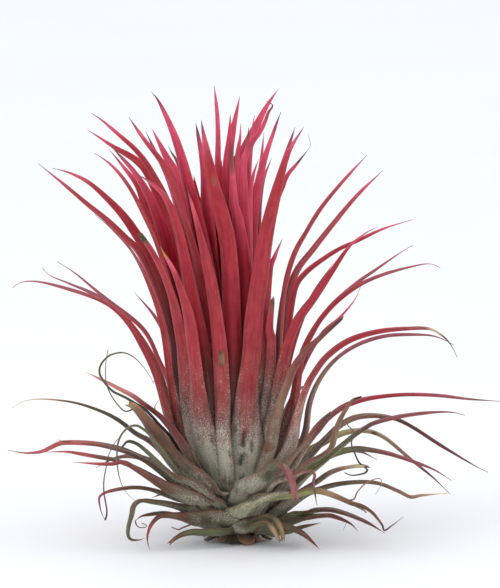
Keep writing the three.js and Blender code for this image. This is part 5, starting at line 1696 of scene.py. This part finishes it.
def add_floor(context):
    """Floor that curves up into a backdrop: flat, a quarter circle, then upright."""
    bend = np.linspace(0, math.pi / 2, BEND_ROWS)
    wall = np.linspace(FLOOR_BEND, BACKDROP_TOP, WALL_ROWS)
    profile = np.vstack([
        np.column_stack([np.linspace(FLOOR_FRONT, FLOOR_BACK, FLAT_ROWS), np.zeros(FLAT_ROWS)]),
        np.column_stack([FLOOR_BACK + FLOOR_BEND * np.sin(bend), FLOOR_BEND * (1 - np.cos(bend))])[1:],
        np.column_stack([np.full(WALL_ROWS, FLOOR_BACK + FLOOR_BEND), wall])[1:],
    ])
    across = np.linspace(-FLOOR_HALF_WIDTH, FLOOR_HALF_WIDTH, FLOOR_COLUMNS)
    points = np.empty((len(profile), FLOOR_COLUMNS, 3))
    points[..., 0] = across
    points[..., 1:] = profile[:, None]
    number = np.arange(len(profile) * FLOOR_COLUMNS).reshape(-1, FLOOR_COLUMNS)
    quads = np.stack([number[:-1, :-1], number[:-1, 1:], number[1:, 1:], number[1:, :-1]], axis=-1)
    mesh = bpy.data.meshes.new("floor")
    mesh.from_pydata(points.reshape(-1, 3).tolist(), [], quads.reshape(-1, 4).tolist())
    mesh.shade_smooth()
    graph = Graph("paper floor")
    place = graph.add("ShaderNodeTexCoord").outputs["Object"]
    first, second = (srgb(*tint) for tint in FLOOR_TINTS)
    tint = graph.blend(graph.ramp(graph.noise(place, *FLOOR_GRAIN), *NOISE_SPAN), first, second)
    mesh.materials.append(graph.finish({
        "Base Color": tint,
        "Roughness": FLOOR_ROUGHNESS,
        "Specular IOR Level": FLOOR_GLOSS,
    }))
    floor = bpy.data.objects.new("floor", mesh)
    context.scene.collection.objects.link(floor)


def add_lights(context, stage):
    """A pale sky and three round lights. The roof looks straight down, the others at the plant."""
    world = bpy.data.worlds.new("sky")
    world.use_nodes = True
    background = world.node_tree.nodes["Background"]
    background.inputs["Color"].default_value = (*srgb(*SKY_TINT), 1)
    background.inputs["Strength"].default_value = stage.sky
    context.scene.world = world
    for name, place, size in LAMPS:
        data = bpy.data.lights.new(name, "AREA")
        data.shape = "DISK"
        data.size = size
        data.energy = getattr(stage, name)
        lamp = bpy.data.objects.new(name, data)
        lamp.location = place
        lamp.rotation_mode = "QUATERNION"
        aim = Vector((place[0], place[1], 0)) if name == "roof" else Vector(LAMP_AIM)
        lamp.rotation_quaternion = (aim - Vector(place)).to_track_quat("-Z", "Y")
        context.scene.collection.objects.link(lamp)


class AIRPLANT_OT_stage(bpy.types.Operator):
    """Camera, pale floor and soft light"""

    bl_idname = "airplant.stage"
    bl_label = "Stage"

    def execute(self, context):
        stage = context.scene.air_plant_stage
        aim = Vector((stage.centre_x, 0, stage.centre_z))
        back = Vector((0, -math.cos(stage.elevation), math.sin(stage.elevation)))
        data = bpy.data.cameras.new("camera")
        data.sensor_width = SENSOR_WIDTH
        data.lens = SENSOR_WIDTH * stage.distance / stage.frame_height
        data.clip_start, data.clip_end = CLIP
        camera = bpy.data.objects.new("camera", data)
        camera.location = aim + back * stage.distance
        camera.rotation_mode = "QUATERNION"
        camera.rotation_quaternion = (-back).to_track_quat("-Z", "Y")
        context.scene.collection.objects.link(camera)
        context.scene.camera = camera
        add_floor(context)
        add_lights(context, stage)
        context.scene.view_settings.view_transform = "Standard"
        return {"FINISHED"}


OPERATORS = (
    AIRPLANT_OT_stem,
    AIRPLANT_OT_heart,
    AIRPLANT_OT_upright,
    AIRPLANT_OT_side,
    AIRPLANT_OT_low,
    AIRPLANT_OT_stage,
)
GROUPS = {
    "air_plant_colours": AirPlantColours,
    "air_plant_blade": AirPlantBlade,
    "air_plant_stage": AirPlantStage,
}


class AIRPLANT_PT_panel(bpy.types.Panel):
    """Lists the pieces of the plant and their settings."""

    bl_idname = "AIRPLANT_PT_panel"
    bl_label = "Air Plant"
    bl_space_type = "VIEW_3D"
    bl_region_type = "UI"
    bl_category = "Air Plant"

    def draw(self, context):
        for operator in OPERATORS:
            self.layout.operator(operator.bl_idname)
        for group in GROUPS:
            settings = getattr(context.scene, group)
            box = self.layout.box()
            for key in settings.__annotations__:
                box.prop(settings, key)


def register():
    for name, group in GROUPS.items():
        bpy.utils.register_class(group)
        setattr(bpy.types.Scene, name, bpy.props.PointerProperty(type=group))
    for kind in (*OPERATORS, AIRPLANT_PT_panel):
        bpy.utils.register_class(kind)


def unregister():
    for kind in reversed((*OPERATORS, AIRPLANT_PT_panel)):
        bpy.utils.unregister_class(kind)
    for name, group in GROUPS.items():
        delattr(bpy.types.Scene, name)
        bpy.utils.unregister_class(group)


def main():
    register()
    bpy.ops.airplant.stage()
    bpy.ops.airplant.stem()
    bpy.ops.airplant.heart()
    bpy.ops.airplant.upright()
    bpy.ops.airplant.side()
    bpy.ops.airplant.low()


if __name__ == "__main__":
    main()
